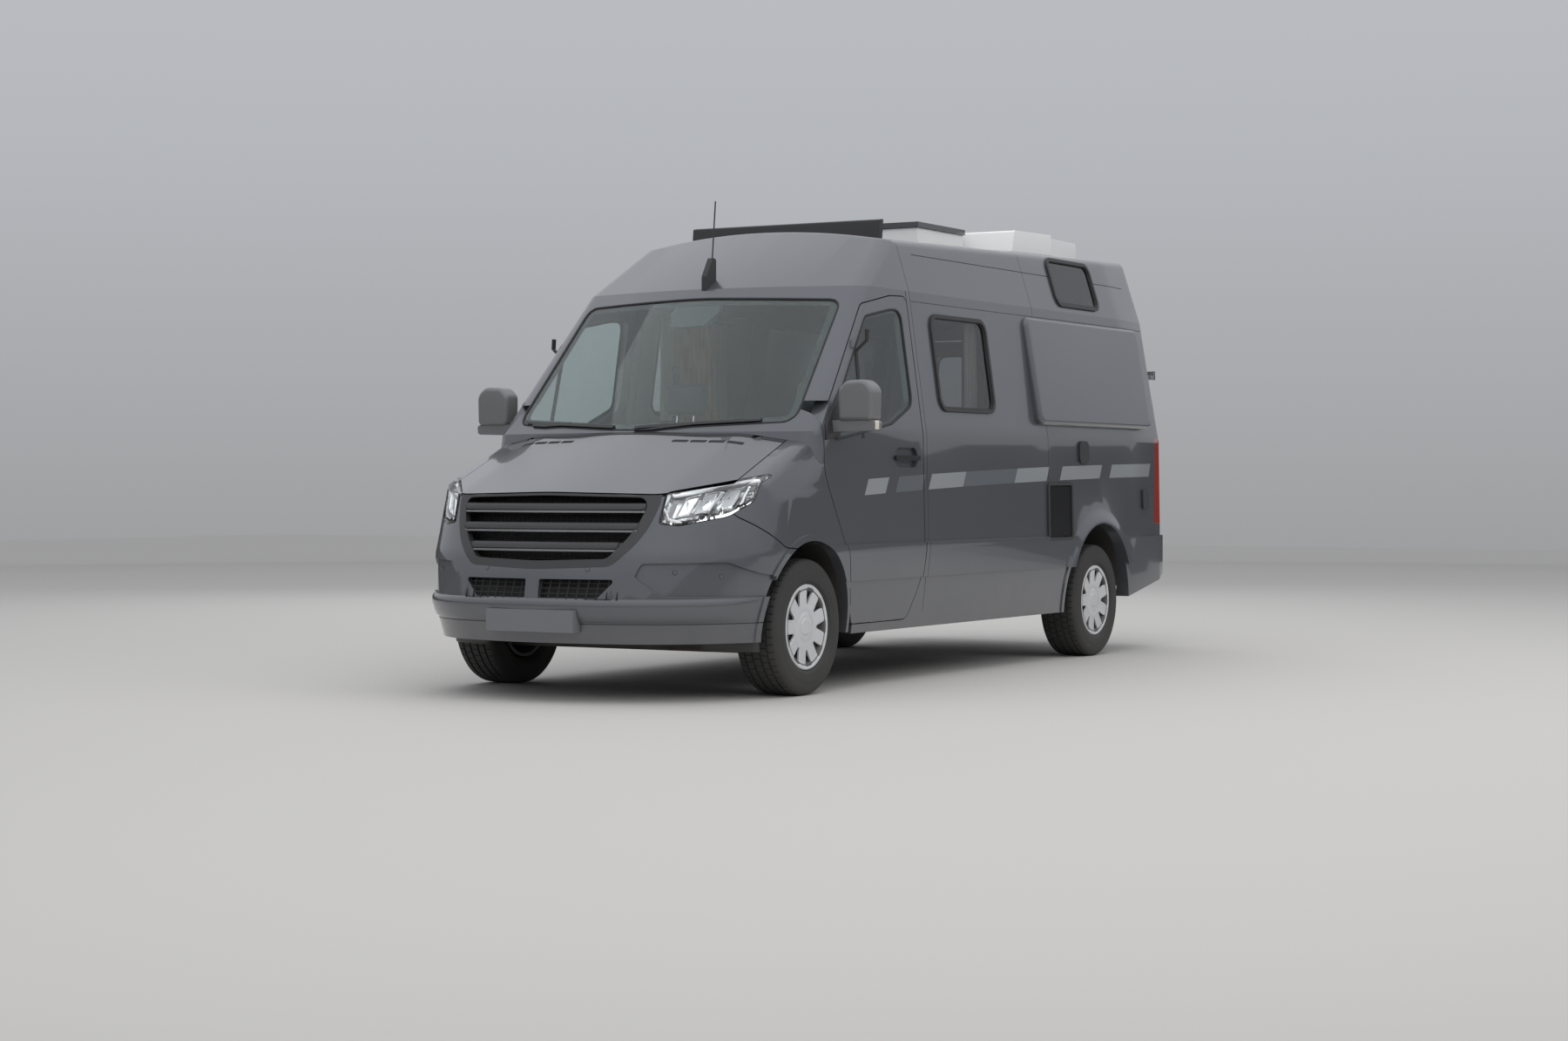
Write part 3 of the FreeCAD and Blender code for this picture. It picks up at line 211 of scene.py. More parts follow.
# Surface grain: fine relief, slow changes of tone, and rounded edges
grain, nodes, links, start, end = new_group(
    "surface_grain",
    {"Colour": ("colour", (0.5, 0.5, 0.5, 1)), "Tone": ("colour", (0.4, 0.4, 0.4, 1)),
     "Scale": ("value", 200.0), "Relief": ("value", 0.0002), "Edge": ("value", 0.002),
     "Patch": ("value", 3.0)},
    {"Colour": "colour", "Mask": "value", "Normal": "normal"})
where = nodes.new("ShaderNodeTexCoord")
fine = nodes.new("ShaderNodeTexNoise")
fine.inputs["Detail"].default_value = 3
broad = nodes.new("ShaderNodeTexNoise")
broad.inputs["Detail"].default_value = 4
round_edge = nodes.new("ShaderNodeBevel")
round_edge.samples = 4
bump = nodes.new("ShaderNodeBump")
bump.inputs["Strength"].default_value = 0.5
tone = nodes.new("ShaderNodeMix")
tone.data_type = "RGBA"
links.new(where.outputs["Object"], fine.inputs["Vector"])
links.new(where.outputs["Object"], broad.inputs["Vector"])
links.new(start.outputs["Scale"], fine.inputs["Scale"])
links.new(start.outputs["Patch"], broad.inputs["Scale"])
links.new(start.outputs["Edge"], round_edge.inputs["Radius"])
links.new(start.outputs["Relief"], bump.inputs["Distance"])
links.new(fine.outputs["Fac"], bump.inputs["Height"])
links.new(round_edge.outputs["Normal"], bump.inputs["Normal"])
links.new(broad.outputs["Fac"], tone.inputs["Factor"])
links.new(start.outputs["Colour"], tone.inputs["A"])
links.new(start.outputs["Tone"], tone.inputs["B"])
links.new(tone.outputs["Result"], end.inputs["Colour"])
links.new(fine.outputs["Fac"], end.inputs["Mask"])
links.new(bump.outputs["Normal"], end.inputs["Normal"])

# Road dust: a soft film that gathers low down and in patches
dust, nodes, links, start, end = new_group(
    "road_dust",
    {"Colour": ("colour", (0.5, 0.5, 0.5, 1)), "Film": ("colour", (0.30, 0.27, 0.23, 1)),
     "Top": ("value", 0.7), "Amount": ("value", 0.3)},
    {"Colour": "colour", "Mask": "value"})
where = nodes.new("ShaderNodeNewGeometry")
axes = nodes.new("ShaderNodeSeparateXYZ")
low = nodes.new("ShaderNodeMapRange")
low.interpolation_type = "SMOOTHSTEP"
low.inputs["From Max"].default_value = 0.0
patches = nodes.new("ShaderNodeTexNoise")
patches.inputs["Scale"].default_value = 6
patches.inputs["Detail"].default_value = 6
film = nodes.new("ShaderNodeMix")
film.data_type = "RGBA"
links.new(where.outputs["Position"], axes.inputs[0])
links.new(axes.outputs["Z"], low.inputs["Value"])
links.new(start.outputs["Top"], low.inputs["From Min"])
links.new(where.outputs["Position"], patches.inputs["Vector"])
covered = math_node(nodes, links, "MULTIPLY", low.outputs["Result"], patches.outputs["Fac"])
covered = math_node(nodes, links, "MULTIPLY", covered, start.outputs["Amount"])
links.new(covered, film.inputs["Factor"])
links.new(start.outputs["Colour"], film.inputs["A"])
links.new(start.outputs["Film"], film.inputs["B"])
links.new(film.outputs["Result"], end.inputs["Colour"])
links.new(covered, end.inputs["Mask"])

# Side stripe: slanted blocks of foil in a band that rises and bends gently towards the rear
FRONT_AXLE_Y = -1.947
STRIPE_HIGH = 0.083
STRIPE_SLANT = 0.566
STRIPE_START = 0.604
STRIPE_TOP = 1.097
STRIPE_RISE = 0.0416
STRIPE_BEND = 0.0038
STRIPE_REACH = 5.0
NO_FOIL = (0, 0, 0, 0)
SILVER_FOIL = (0.46, 0.48, 0.50, 1)
GREY_FOIL = (0.20, 0.215, 0.235, 1)
STRIPE_BLOCKS = ((0.0, NO_FOIL), (0.557, SILVER_FOIL), (0.794, NO_FOIL), (0.906, GREY_FOIL),
                 (1.215, NO_FOIL), (1.300, SILVER_FOIL), (1.721, GREY_FOIL),
                 (2.415, SILVER_FOIL), (2.860, NO_FOIL), (3.054, SILVER_FOIL),
                 (3.660, NO_FOIL), (3.820, SILVER_FOIL), (4.515, NO_FOIL))
stripe, nodes, links, start, end = new_group("side_stripe", {}, {"Colour": "colour",
                                                                 "Mask": "value"})
calc = partial(math_node, nodes, links)
where = nodes.new("ShaderNodeTexCoord")
axes = nodes.new("ShaderNodeSeparateXYZ")
links.new(where.outputs["Object"], axes.inputs[0])
along = calc("SUBTRACT", axes.outputs["Y"], FRONT_AXLE_Y)
reach = calc("SUBTRACT", along, STRIPE_START)
bend = calc("MULTIPLY", calc("MULTIPLY", reach, reach),
                 STRIPE_BEND)
rise = calc("MULTIPLY", reach, STRIPE_RISE)
top_edge = calc("SUBTRACT", calc("ADD", rise, STRIPE_TOP),
                     bend)
above = calc("SUBTRACT", axes.outputs["Z"],
                  calc("SUBTRACT", top_edge, STRIPE_HIGH))
inside = calc("MULTIPLY",
                   calc("GREATER_THAN", above, 0.0),
                   calc("LESS_THAN", above, STRIPE_HIGH))
outboard = calc("GREATER_THAN",
                     calc("ABSOLUTE", axes.outputs["X"], 0.0), 0.975)
slant = calc("SUBTRACT", along,
                  calc("MULTIPLY", above, STRIPE_SLANT))
blocks = nodes.new("ShaderNodeValToRGB")
blocks.color_ramp.interpolation = "CONSTANT"
blocks.color_ramp.elements[0].color = NO_FOIL
blocks.color_ramp.elements.remove(blocks.color_ramp.elements[1])
for edge, foil in STRIPE_BLOCKS[1:]:
    blocks.color_ramp.elements.new(edge / STRIPE_REACH).color = foil
links.new(calc("DIVIDE", slant, STRIPE_REACH), blocks.inputs["Fac"])
masked = calc("MULTIPLY", inside, blocks.outputs["Alpha"])
masked = calc("MULTIPLY", masked, outboard)
links.new(blocks.outputs["Color"], end.inputs["Colour"])
links.new(masked, end.inputs["Mask"])

PAINT = (0.118, 0.125, 0.140)
paint, nodes, links, shader = new_finish("anthracite_paint", PAINT, 0.36, 0.62,
                                         Coat_Weight=1.0, Coat_Roughness=0.05)
flakes = use_group(paint, grain, Colour=(0.108, 0.114, 0.128, 1), Tone=(0.130, 0.137, 0.152, 1),
                   Scale=2600.0, Relief=0.00002, Edge=0.0022, Patch=1.4)
foil = use_group(paint, stripe)
film = use_group(paint, dust, Top=0.75, Amount=0.35)
over = nodes.new("ShaderNodeMix")
over.data_type = "RGBA"
links.new(flakes.outputs["Colour"], over.inputs["A"])
links.new(foil.outputs["Colour"], over.inputs["B"])
links.new(foil.outputs["Mask"], over.inputs["Factor"])
links.new(over.outputs["Result"], film.inputs["Colour"])
links.new(film.outputs["Colour"], shader.inputs["Base Color"])
links.new(flakes.outputs["Normal"], shader.inputs["Normal"])
clad = nodes.new("ShaderNodeMapRange")
clad.inputs["From Min"].default_value = 0.70
clad.inputs["From Max"].default_value = 0.76
clad.inputs["To Min"].default_value = 0.46
clad.inputs["To Max"].default_value = 0.34
low_height = nodes.new("ShaderNodeNewGeometry")
low_axes = nodes.new("ShaderNodeSeparateXYZ")
links.new(low_height.outputs["Position"], low_axes.inputs[0])
links.new(low_axes.outputs["Z"], clad.inputs["Value"])
links.new(clad.outputs["Result"], shader.inputs["Roughness"])


def moulded(name, colour, tone_colour, roughness, scale=420.0, relief=0.00025, edge=0.0015,
            metallic=0.0, dusty=0.0, **sockets):
    """Plastic, rubber or plain lacquer with fine grain, rounded edges and road dust."""
    look, nodes, links, shader = new_finish(name, colour, roughness, metallic, **sockets)
    skin = use_group(look, grain, Colour=(*colour, 1), Tone=(*tone_colour, 1), Scale=scale,
                     Relief=relief, Edge=edge)
    last = skin.outputs["Colour"]
    if dusty:
        film = use_group(look, dust, Top=0.9, Amount=dusty)
        links.new(last, film.inputs["Colour"])
        last = film.outputs["Colour"]
    links.new(last, shader.inputs["Base Color"])
    links.new(skin.outputs["Normal"], shader.inputs["Normal"])
    vary = nodes.new("ShaderNodeMapRange")
    vary.inputs["To Min"].default_value = roughness - 0.06
    vary.inputs["To Max"].default_value = min(roughness + 0.06, 1.0)
    links.new(skin.outputs["Mask"], vary.inputs["Value"])
    links.new(vary.outputs["Result"], shader.inputs["Roughness"])
    return look


crease_tree = bpy.data.node_groups.new("smooth_up_to_crease", "GeometryNodeTree")
crease_tree.interface.new_socket("Geometry", in_out="INPUT", socket_type="NodeSocketGeometry")
crease_tree.interface.new_socket("Geometry", in_out="OUTPUT", socket_type="NodeSocketGeometry")
nodes, links = crease_tree.nodes, crease_tree.links
start, end = nodes.new("NodeGroupInput"), nodes.new("NodeGroupOutput")
fold = nodes.new("GeometryNodeInputMeshEdgeAngle")
gentle = nodes.new("FunctionNodeCompare")
gentle.operation = "LESS_THAN"
gentle.inputs["B"].default_value = math.radians(27)
faces_smooth = nodes.new("GeometryNodeSetShadeSmooth")
edges_smooth = nodes.new("GeometryNodeSetShadeSmooth")
edges_smooth.domain = "EDGE"
links.new(start.outputs[0], faces_smooth.inputs["Geometry"])
links.new(faces_smooth.outputs[0], edges_smooth.inputs["Geometry"])
links.new(fold.outputs["Unsigned Angle"], gentle.inputs["A"])
links.new(gentle.outputs["Result"], edges_smooth.inputs["Shade Smooth"])
links.new(edges_smooth.outputs[0], end.inputs[0])


def dress(node, look):
    """Gives a CAD node its finish, joins its facets and shades it smooth up to a crease."""
    part = cad[node]
    mesh = part.data
    mesh.materials.clear()
    mesh.materials.append(look)
    if "custom_normal" in mesh.attributes:
        mesh.attributes.remove(mesh.attributes["custom_normal"])
    joined = part.modifiers.new("joined_facets", "WELD")
    joined.merge_threshold = 0.00003
    shaded = part.modifiers.new("smooth_up_to_crease", "NODES")
    shaded.node_group = crease_tree
    return part


PAINTED = ("bonnet", "front_wings", "front_bumper", "windscreen_frame", "door_left",
           "door_right", "side_left", "side_right", "sliding_door", "roof", "rear_frame",
           "rear_door_left", "rear_door_right", "rear_bumper", "side_pods")
for node in PAINTED:
    dress(node, paint)

# Lining: felt on the walls and roof of the living space, coloured darker than light felt as
# painted shade for the dim inside of the van, and dark moulded panels on the doors of the cab,
# seen through the glass.
# The felt's grey is partly its own colour and partly painted shade, so that the lamp-lit inside of
# the van reads dim.
felt_with_painted_shade = moulded("wall_felt_with_painted_shade", (0.20, 0.19, 0.18), (0.175, 0.168, 0.158), 0.95, 500.0, 0.0002)
door_card = moulded("door_card", (0.075, 0.077, 0.08), (0.06, 0.06, 0.064), 0.75)
LINED = {"side_left": felt_with_painted_shade, "side_right": felt_with_painted_shade, "sliding_door": felt_with_painted_shade, "roof": felt_with_painted_shade,
         "windscreen_frame": felt_with_painted_shade, "door_left": door_card, "door_right": door_card,
         "rear_door_left": felt_with_painted_shade, "rear_door_right": felt_with_painted_shade, "rear_frame": felt_with_painted_shade}
LINING_FACING = 0.35
for node, look in LINED.items():
    mesh = cad[node].data
    mesh.materials.append(look)
    for face in mesh.polygons:
        inward = Vector((-face.center.x, -face.center.y / 4, 1.6 - face.center.z))
        if node in ("rear_door_left", "rear_door_right", "rear_frame"):
            inward = Vector((0, -1, 0))
        elif node == "roof":
            inward = Vector((-face.center.x, 0, -1.2))
        if face.normal.dot(inward.normalized()) > LINING_FACING:
            face.material_index = 1

# Glass: the windscreen and the cab doors carry clear laminated glass with a
# faint green cast; the living space has darker panes, bonded into their frames.
def glass_look(name, tint):
    """Solid pane: refracts and reflects, and lets lamp light through to the cabin."""
    look, nodes, links, shader = new_finish(name, tint, 0.0, 0.0, Transmission_Weight=1.0,
                                            IOR=1.45)
    passing = nodes.new("ShaderNodeBsdfTransparent")
    passing.inputs["Color"].default_value = (*tint, 1)
    light_path = nodes.new("ShaderNodeLightPath")
    either = nodes.new("ShaderNodeMixShader")
    links.new(light_path.outputs["Is Shadow Ray"], either.inputs["Fac"])
    links.new(shader.outputs["BSDF"], either.inputs[1])
    links.new(passing.outputs["BSDF"], either.inputs[2])
    links.new(either.outputs["Shader"], nodes["Material Output"].inputs["Surface"])
    return look


clear_glass = glass_look("clear_glass", (0.66, 0.75, 0.74))
dark_glass = glass_look("dark_glass", (0.42, 0.44, 0.45))
for node in ("windscreen", "door_left_pane", "door_right_pane"):
    dress(node, clear_glass)
for node in ("side_panes", "rear_pane_left", "rear_pane_right"):
    dress(node, dark_glass)

# Black trim: rubber seals round the bonded glass, moulded sills of the
# screen, wiper arms and blades, mirrors and handles, all through-coloured.
rubber = moulded("black_rubber", (0.018, 0.018, 0.019), (0.026, 0.026, 0.027), 0.62, 600.0,
                 0.0002)
satin_plastic = moulded("satin_plastic", (0.185, 0.187, 0.19), (0.165, 0.166, 0.17), 0.34,
                        500.0, 0.0001, 0.003, metallic=0.3)
black_plastic = moulded("black_plastic", (0.024, 0.024, 0.026), (0.034, 0.034, 0.036), 0.5,
                        dusty=0.25)
gloss_black = moulded("gloss_black", (0.012, 0.012, 0.014), (0.016, 0.016, 0.018), 0.18,
                      300.0, 0.00004, 0.002, Coat_Weight=0.6)
for node in ("scuttle", "wipers", "side_trim", "hatch_frame", "roof_deflector", "aerial"):
    dress(node, black_plastic)
for node in ("mirror_left", "mirror_right"):
    dress(node, satin_plastic)


def split_colour(look, measure, axis, level, below, above):
    """Base colour is below where the surface's Position or Normal is under level, else above."""
    nodes, links = look.node_tree.nodes, look.node_tree.links
    where = nodes.new("ShaderNodeNewGeometry")
    axes = nodes.new("ShaderNodeSeparateXYZ")
    links.new(where.outputs[measure], axes.inputs[0])
    either = nodes.new("ShaderNodeMix")
    either.data_type = "RGBA"
    either.inputs["A"].default_value = (*below, 1)
    links.new(math_node(nodes, links, "GREATER_THAN", axes.outputs[axis], level),
              either.inputs["Factor"])
    links.new(above, either.inputs["B"])
    links.new(either.outputs["Result"], nodes["Principled BSDF"].inputs["Base Color"])


# The black door handles share the mirrors' nodes and end below this height
HANDLE_TOP = 1.25
mirror_tone = satin_plastic.node_tree.nodes["Principled BSDF"].inputs["Base Color"]
split_colour(satin_plastic, "Position", "Z", HANDLE_TOP, (0.022, 0.022, 0.024),
             mirror_tone.links[0].from_socket)
dress("window_frames", black_plastic)
dress("service_flap", gloss_black)


def smooth_mesh(name, bm, look, crease):
    """Mesh of that bmesh, which is freed, smoothed up to a crease in degrees."""
    mesh = bpy.data.meshes.new(name)
    bm.to_mesh(mesh)
    bm.free()
    mesh.shade_smooth()
    mesh.set_sharp_from_angle(angle=math.radians(crease))
    mesh.materials.append(look)
    return mesh


def finish_piece(name, bm, look, body=None, crease=30, bevel=0.0, segments=2):
    """Mesh built in code, smoothed up to that crease, with softened edges, on a CAD body."""
    bmesh.ops.remove_doubles(bm, verts=bm.verts, dist=0.00002)
    bmesh.ops.recalc_face_normals(bm, faces=bm.faces)
    made = link(smooth_mesh(name, bm, look, crease), name)
    if bevel:
        softened = made.modifiers.new("soft_edges", "BEVEL")
        softened.width = bevel
        softened.segments = segments
        softened.limit_method = "ANGLE"
        softened.angle_limit = math.radians(35)
        softened.harden_normals = True
    if body:
        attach(made, body)
    return made


def thicken(made, thickness, offset=-1):
    """Gives an open skin a wall."""
    wall = made.modifiers.new("wall", "SOLIDIFY")
    wall.thickness = thickness
    wall.offset = offset


def outer_skin(node, keep, push=0.0):
    """bmesh of a CAD node's faces whose normal and middle pass the test, pushed along it."""
    bm = bmesh.new()
    bm.from_mesh(cad[node].data)
    bmesh.ops.remove_doubles(bm, verts=bm.verts, dist=0.00005)
    bm.normal_update()
    dropped = [face for face in bm.faces if not keep(face.normal, face.calc_center_median())]
    bmesh.ops.delete(bm, geom=dropped, context="FACES")
    loose = [vert for vert in bm.verts if not vert.link_faces]
    bmesh.ops.delete(bm, geom=loose, context="VERTS")
    bm.normal_update()
    moves = [(vert, vert.normal.copy()) for vert in bm.verts]
    for vert, normal in moves:
        vert.co += normal * push
    return bm


def tube(bm, path, radius, sides=10, closed=False):
    """Round bar along a list of points, added to bm."""
    rings = []
    count = len(path)
    for index, spot in enumerate(path):
        before = path[index - 1] if index or closed else path[index]
        after = path[(index + 1) % count] if index < count - 1 or closed else path[index]
        ahead = (Vector(after) - Vector(before)).normalized()
        across = ahead.cross(Vector((0, 0, 1)))
        if across.length < 0.05:
            across = ahead.cross(Vector((0, 1, 0)))
        across.normalize()
        up = across.cross(ahead)
        rings.append([bm.verts.new(Vector(spot) + radius * (
            across * math.cos(math.tau * k / sides) + up * math.sin(math.tau * k / sides)))
            for k in range(sides)])
    stitch(bm, rings + rings[:1] if closed else rings, closed=True)
    if not closed:
        bm.faces.new(rings[0])
        bm.faces.new(rings[-1])
    return bm


def boundary_loops(bm):
    """Open borders of a bmesh skin as ordered lists of points."""
    edges = {edge for edge in bm.edges if len(edge.link_faces) == 1}
    loops = []
    while edges:
        edge = edges.pop()
        first, tip = edge.verts
        points = [first.co.copy(), tip.co.copy()]
        while tip != first:
            onward = next((other for other in tip.link_edges if other in edges), None)
            if onward is None:
                break
            edges.discard(onward)
            tip = onward.other_vert(tip)
            points.append(tip.co.copy())
        loops.append(points[:-1])
    return loops


def evened(points, step):
    """A closed line of points at even steps."""
    lengths = [0.0]
    ring = points + points[:1]
    for one, two in zip(ring, ring[1:]):
        lengths.append(lengths[-1] + (two - one).length)
    count = max(8, round(lengths[-1] / step))
    made = []
    index = 0
    for number in range(count):
        goal = lengths[-1] * number / count
        while lengths[index + 1] < goal:
            index += 1
        share = (goal - lengths[index]) / max(lengths[index + 1] - lengths[index], 1e-9)
        made.append(ring[index].lerp(ring[index + 1], share))
    return made


SEALS = {
    "windscreen": ("van", lambda n, c: n.y < -0.2, 0.007),
    "door_left_pane": ("door_left_body", lambda n, c: n.x > 0.5, 0.008),
    "door_right_pane": ("door_right_body", lambda n, c: n.x < -0.5, 0.008),
    "rear_pane_left": ("rear_left_body", lambda n, c: n.y > 0.5, 0.007),
    "rear_pane_right": ("rear_right_body", lambda n, c: n.y > 0.5, 0.007),
    "side_panes": ("van", lambda n, c: abs(n.x) > 0.5 and n.x * c.x > 0, 0.006)}
for node, (body, outward, thick) in SEALS.items():
    skin = outer_skin(node, outward)
    seal = bmesh.new()
    for loop in boundary_loops(skin):
        tube(seal, evened(loop, 0.03), thick, 8, closed=True)
    skin.free()
    finish_piece(node + "_seal", seal, rubber, body, 60)


# Front: a satin grille with three broad slats and bright lower lips, a dark
# radiator behind it, wire mesh in the bumper's two inlets and blank plates.


def surface_of(*nodes):
    """Search tree over the meshes of these CAD nodes."""
    verts, faces = [], []
    for node in nodes:
        mesh = cad[node].data
        shift = len(verts)
        verts += [vert.co.copy() for vert in mesh.vertices]
        faces += [[shift + index for index in face.vertices] for face in mesh.polygons]
    return BVHTree.FromPolygons(verts, faces)


def from_front(tree, x, z, fallback=-2.9):
    """First point of the surface met when looking along +Y at x and z."""
    hit = tree.ray_cast(Vector((x, -4, z)), Vector((0, 1, 0)))[0]
    return hit if hit else Vector((x, fallback, z))


def from_side(tree, side, y, z, fallback=1.0):
    """First point of the surface met when looking at that side (1 left, -1 right)."""
    hit = tree.ray_cast(Vector((3 * side, y, z)), Vector((-side, 0, 0)))[0]
    return hit if hit else Vector((fallback * side, y, z))


grille_look = moulded("grille_satin", (0.066, 0.066, 0.068), (0.056, 0.056, 0.058), 0.38,
                      500.0, 0.0001, 0.003, metallic=0.35)
lip_look = moulded("grille_lip", (0.36, 0.36, 0.36), (0.30, 0.30, 0.30), 0.26, 700.0,
                   0.00005, 0.001, metallic=0.9)
dress("grille", grille_look)
grille_face = surface_of("grille")
MOUTH_WIDE = ((0.694, 0.36), (0.706, 0.392), (0.850, 0.520), (1.004, 0.556), (1.02, 0.556))
SLAT_HEIGHTS = (0.760, 0.855, 0.950)
SLAT_BLADE = ((0.028, 0.010), (0.022, 0.002), (0.008, -0.003), (-0.004, -0.006),
              (-0.006, 0.000), (-0.009, 0.001))
SLAT_LIP = ((-0.009, -0.003), (-0.010, -0.007), (-0.019, -0.008), (-0.021, -0.004),
            (-0.021, 0.010))


def mouth_half(z):
    """Half width of the grille's mouth at height z."""
    for (low, narrow), (high, wide) in zip(MOUTH_WIDE, MOUTH_WIDE[1:]):
        if z <= high:
            return narrow + (wide - narrow) * (z - low) / (high - low)
    return MOUTH_WIDE[-1][1]


def slat(name, z, section, look, inset):
    """Section swept across the mouth, on the line of the CAD slat's front face."""
    bm = bmesh.new()
    stations = 48
    rings = []
    half_wide = mouth_half(z) - inset
    for number in range(stations + 1):
        x = half_wide * (2 * number / stations - 1)
        face = from_front(grille_face, x * 0.97, z)
        rings.append([bm.verts.new((x, face.y + back, z + up)) for up, back in section])
    stitch(bm, rings)
    thicken(finish_piece(name, bm, look, "van", 40), 0.0025)


for number, z in enumerate(SLAT_HEIGHTS):
    slat(f"slat_blade_{number}", z, SLAT_BLADE, grille_look, 0.002)
    slat(f"slat_lip_{number}", z, SLAT_LIP, lip_look, 0.004)

mesh_look = moulded("radiator_mesh", (0.012, 0.012, 0.013), (0.02, 0.02, 0.02), 0.6)


def bar(bm, low, high):
    """Box between two corners, added to bm."""
    made = bmesh.ops.create_cube(bm, size=1)["verts"]
    low, high = Vector(low), Vector(high)
    for vert in made:
        vert.co = Vector([(low[k] + high[k]) / 2 + vert.co[k] * (high[k] - low[k])
                          for k in range(3)])
    return made


nose_low = from_front(grille_face, 0, 0.680)
nose_high = from_front(grille_face, 0, 1.024)
nose_side = from_front(grille_face, 0.50, 0.855)
nose_lean = (nose_high.y - nose_low.y) / (nose_high.z - nose_low.z)
nose_bow = (nose_side.y - from_front(grille_face, 0, 0.855).y) / 0.50 ** 2


def wire_mesh(name, outline, pitch, wire, deep):
    """Crossed wires bent to the nose behind an opening, with a dark plate behind them."""
    (left, right), (low, high) = outline
    bm = bmesh.new()

    def bent(x, z, back):
        return (x, nose_low.y + nose_lean * (z - nose_low.z) + nose_bow * x * x + back, z)

    for number in range(round((right - left) / pitch[0]) + 1):
        x = left + pitch[0] * number
        tube(bm, [bent(x, low + (high - low) * k / 4, deep) for k in range(5)], wire, 4)
    for number in range(round((high - low) / pitch[1]) + 1):
        z = low + pitch[1] * number
        tube(bm, [bent(left + (right - left) * k / 16, z, deep + 0.004) for k in range(17)],
             wire, 4)
    plate = [[bm.verts.new(bent(left + (right - left) * k / 16, z, deep + 0.03))
              for k in range(17)] for z in (low, high)]
    stitch(bm, plate)
    return finish_piece(name, bm, mesh_look, "van", 30)


wire_mesh("radiator_guard", ((-0.53, 0.53), (0.700, 1.010)), (0.030, 0.015), 0.002, 0.062)
wire_mesh("inlet_mesh_left", ((0.045, 0.435), (0.508, 0.612)), (0.052, 0.026), 0.004, 0.035)
wire_mesh("inlet_mesh_right", ((-0.435, -0.045), (0.508, 0.612)), (0.052, 0.026), 0.004, 0.035)

plate_look = moulded("blank_plate", (0.165, 0.17, 0.178), (0.15, 0.155, 0.162), 0.45, 90.0,
                     0.00005, 0.002)
dress("plates", plate_look)

# Lower bumper bar: a smooth step in body colour that stands out round the front
# under the inlets and carries the plate.
front_skin = surface_of("front_bumper")
BAR_SECTION = ((0.512, -0.001), (0.505, 0.006), (0.494, 0.011), (0.470, 0.0125), (0.430, 0.012),
               (0.404, 0.009), (0.394, -0.001))
BAR_CENTRE = Vector((0, -2.15, 0))
bumper_bar = bmesh.new()
rows = []
for number in range(-44, 45):
    turn = math.radians(number * 1.7)
    ahead = Vector((math.sin(turn), -math.cos(turn), 0))
    row = []
    for z, out in BAR_SECTION:
        spot, normal, _, _ = front_skin.ray_cast(BAR_CENTRE + Vector((0, 0, z)) + ahead * 3,
                                                 -ahead)
        fade = min(1.0, (45 - abs(number)) / 10)
        if spot is None or spot.y > -2.385:
            row = []
            break
        row.append(bumper_bar.verts.new(spot + normal * (out * fade if out > 0 else out)))
    if row:
        rows.append(row)
stitch(bumper_bar, rows)
finish_piece("bumper_bar", bumper_bar, paint, "van", 60)

# Parking sensors: small round caps set into the bumpers, body-coloured with a
# fine joint round them.
joint_look = moulded("dark_joint", (0.01, 0.01, 0.01), (0.014, 0.014, 0.014), 0.8)


def ring_disc(bm, middle, normal, outer, inner, lift):
    """Flat ring with a domed middle, facing along normal."""
    turn = normal.to_track_quat("Z", "Y").to_matrix()
    rims = []
    for radius, high in ((outer, 0.0), (outer, lift), (inner, lift * 1.2), (0.0005, lift * 1.6)):
        rims.append([bm.verts.new(middle + turn @ Vector((
            radius * math.cos(math.tau * k / 24), radius * math.sin(math.tau * k / 24), high)))
            for k in range(24)])
    stitch(bm, rims, closed=True)


SENSORS = ((0.30, 0.655), (0.70, 0.640), (0.86, 0.62))
for number, (x, z) in enumerate(SENSORS):
    for side in (-1, 1):
        spot, normal, _, _ = front_skin.ray_cast(Vector((x * side, -4, z)), Vector((0, 1, 0)))
        if spot is None:
            continue
        cap = bmesh.new()
        ring_disc(cap, spot, normal, 0.0105, 0.009, 0.0012)
        finish_piece(f"sensor_{number}_{side + 1}", cap, paint, "van")
        seat = bmesh.new()
        ring_disc(seat, spot, normal, 0.0125, 0.0115, 0.0003)
        finish_piece(f"sensor_joint_{number}_{side + 1}", seat, joint_look, "van")

# Headlamps: a clear moulded lens over a bright housing with three slanted
# reflector modules, a white light guide round them and a side marker.
lens_look = glass_look("lens_clear", (0.97, 0.98, 0.98))
housing_look = moulded("lamp_housing", (0.52, 0.53, 0.54), (0.44, 0.45, 0.46), 0.28, 300.0,
                       0.00005, 0.002, metallic=0.75)
reflector_look = moulded("lamp_reflector", (0.80, 0.81, 0.82), (0.62, 0.63, 0.64), 0.12, 60.0,
                         0.0015, 0.0015, metallic=1.0)
guide_look = moulded("light_guide", (0.85, 0.86, 0.87), (0.80, 0.81, 0.82), 0.2, 200.0,
                     0.00003, 0.002)
shade_look = moulded("lamp_shade", (0.16, 0.165, 0.17), (0.12, 0.125, 0.13), 0.35, 300.0,
                     0.00005, 0.001, metallic=0.4)
lamp_front = surface_of("headlamps")
LAMP_LOW = ((0.668, 0.906), (0.882, 0.962))
LAMP_HIGH = ((0.700, 1.010), (0.925, 1.070))
MODULE_DEPTH = 0.022
MODULE_STEPS = ((0.0, 0.0), (0.12, -0.006), (0.26, 0.012), (0.9, 0.016))
GUIDE = ((0.640, 1.015), (0.626, 0.960), (0.650, 0.902), (0.712, 0.886), (0.860, 0.928),
         (0.905, 0.985), (0.925, 1.060))
BROW = ((0.650, 1.022), (0.72, 1.048), (0.80, 1.066), (0.88, 1.086), (0.932, 1.098))


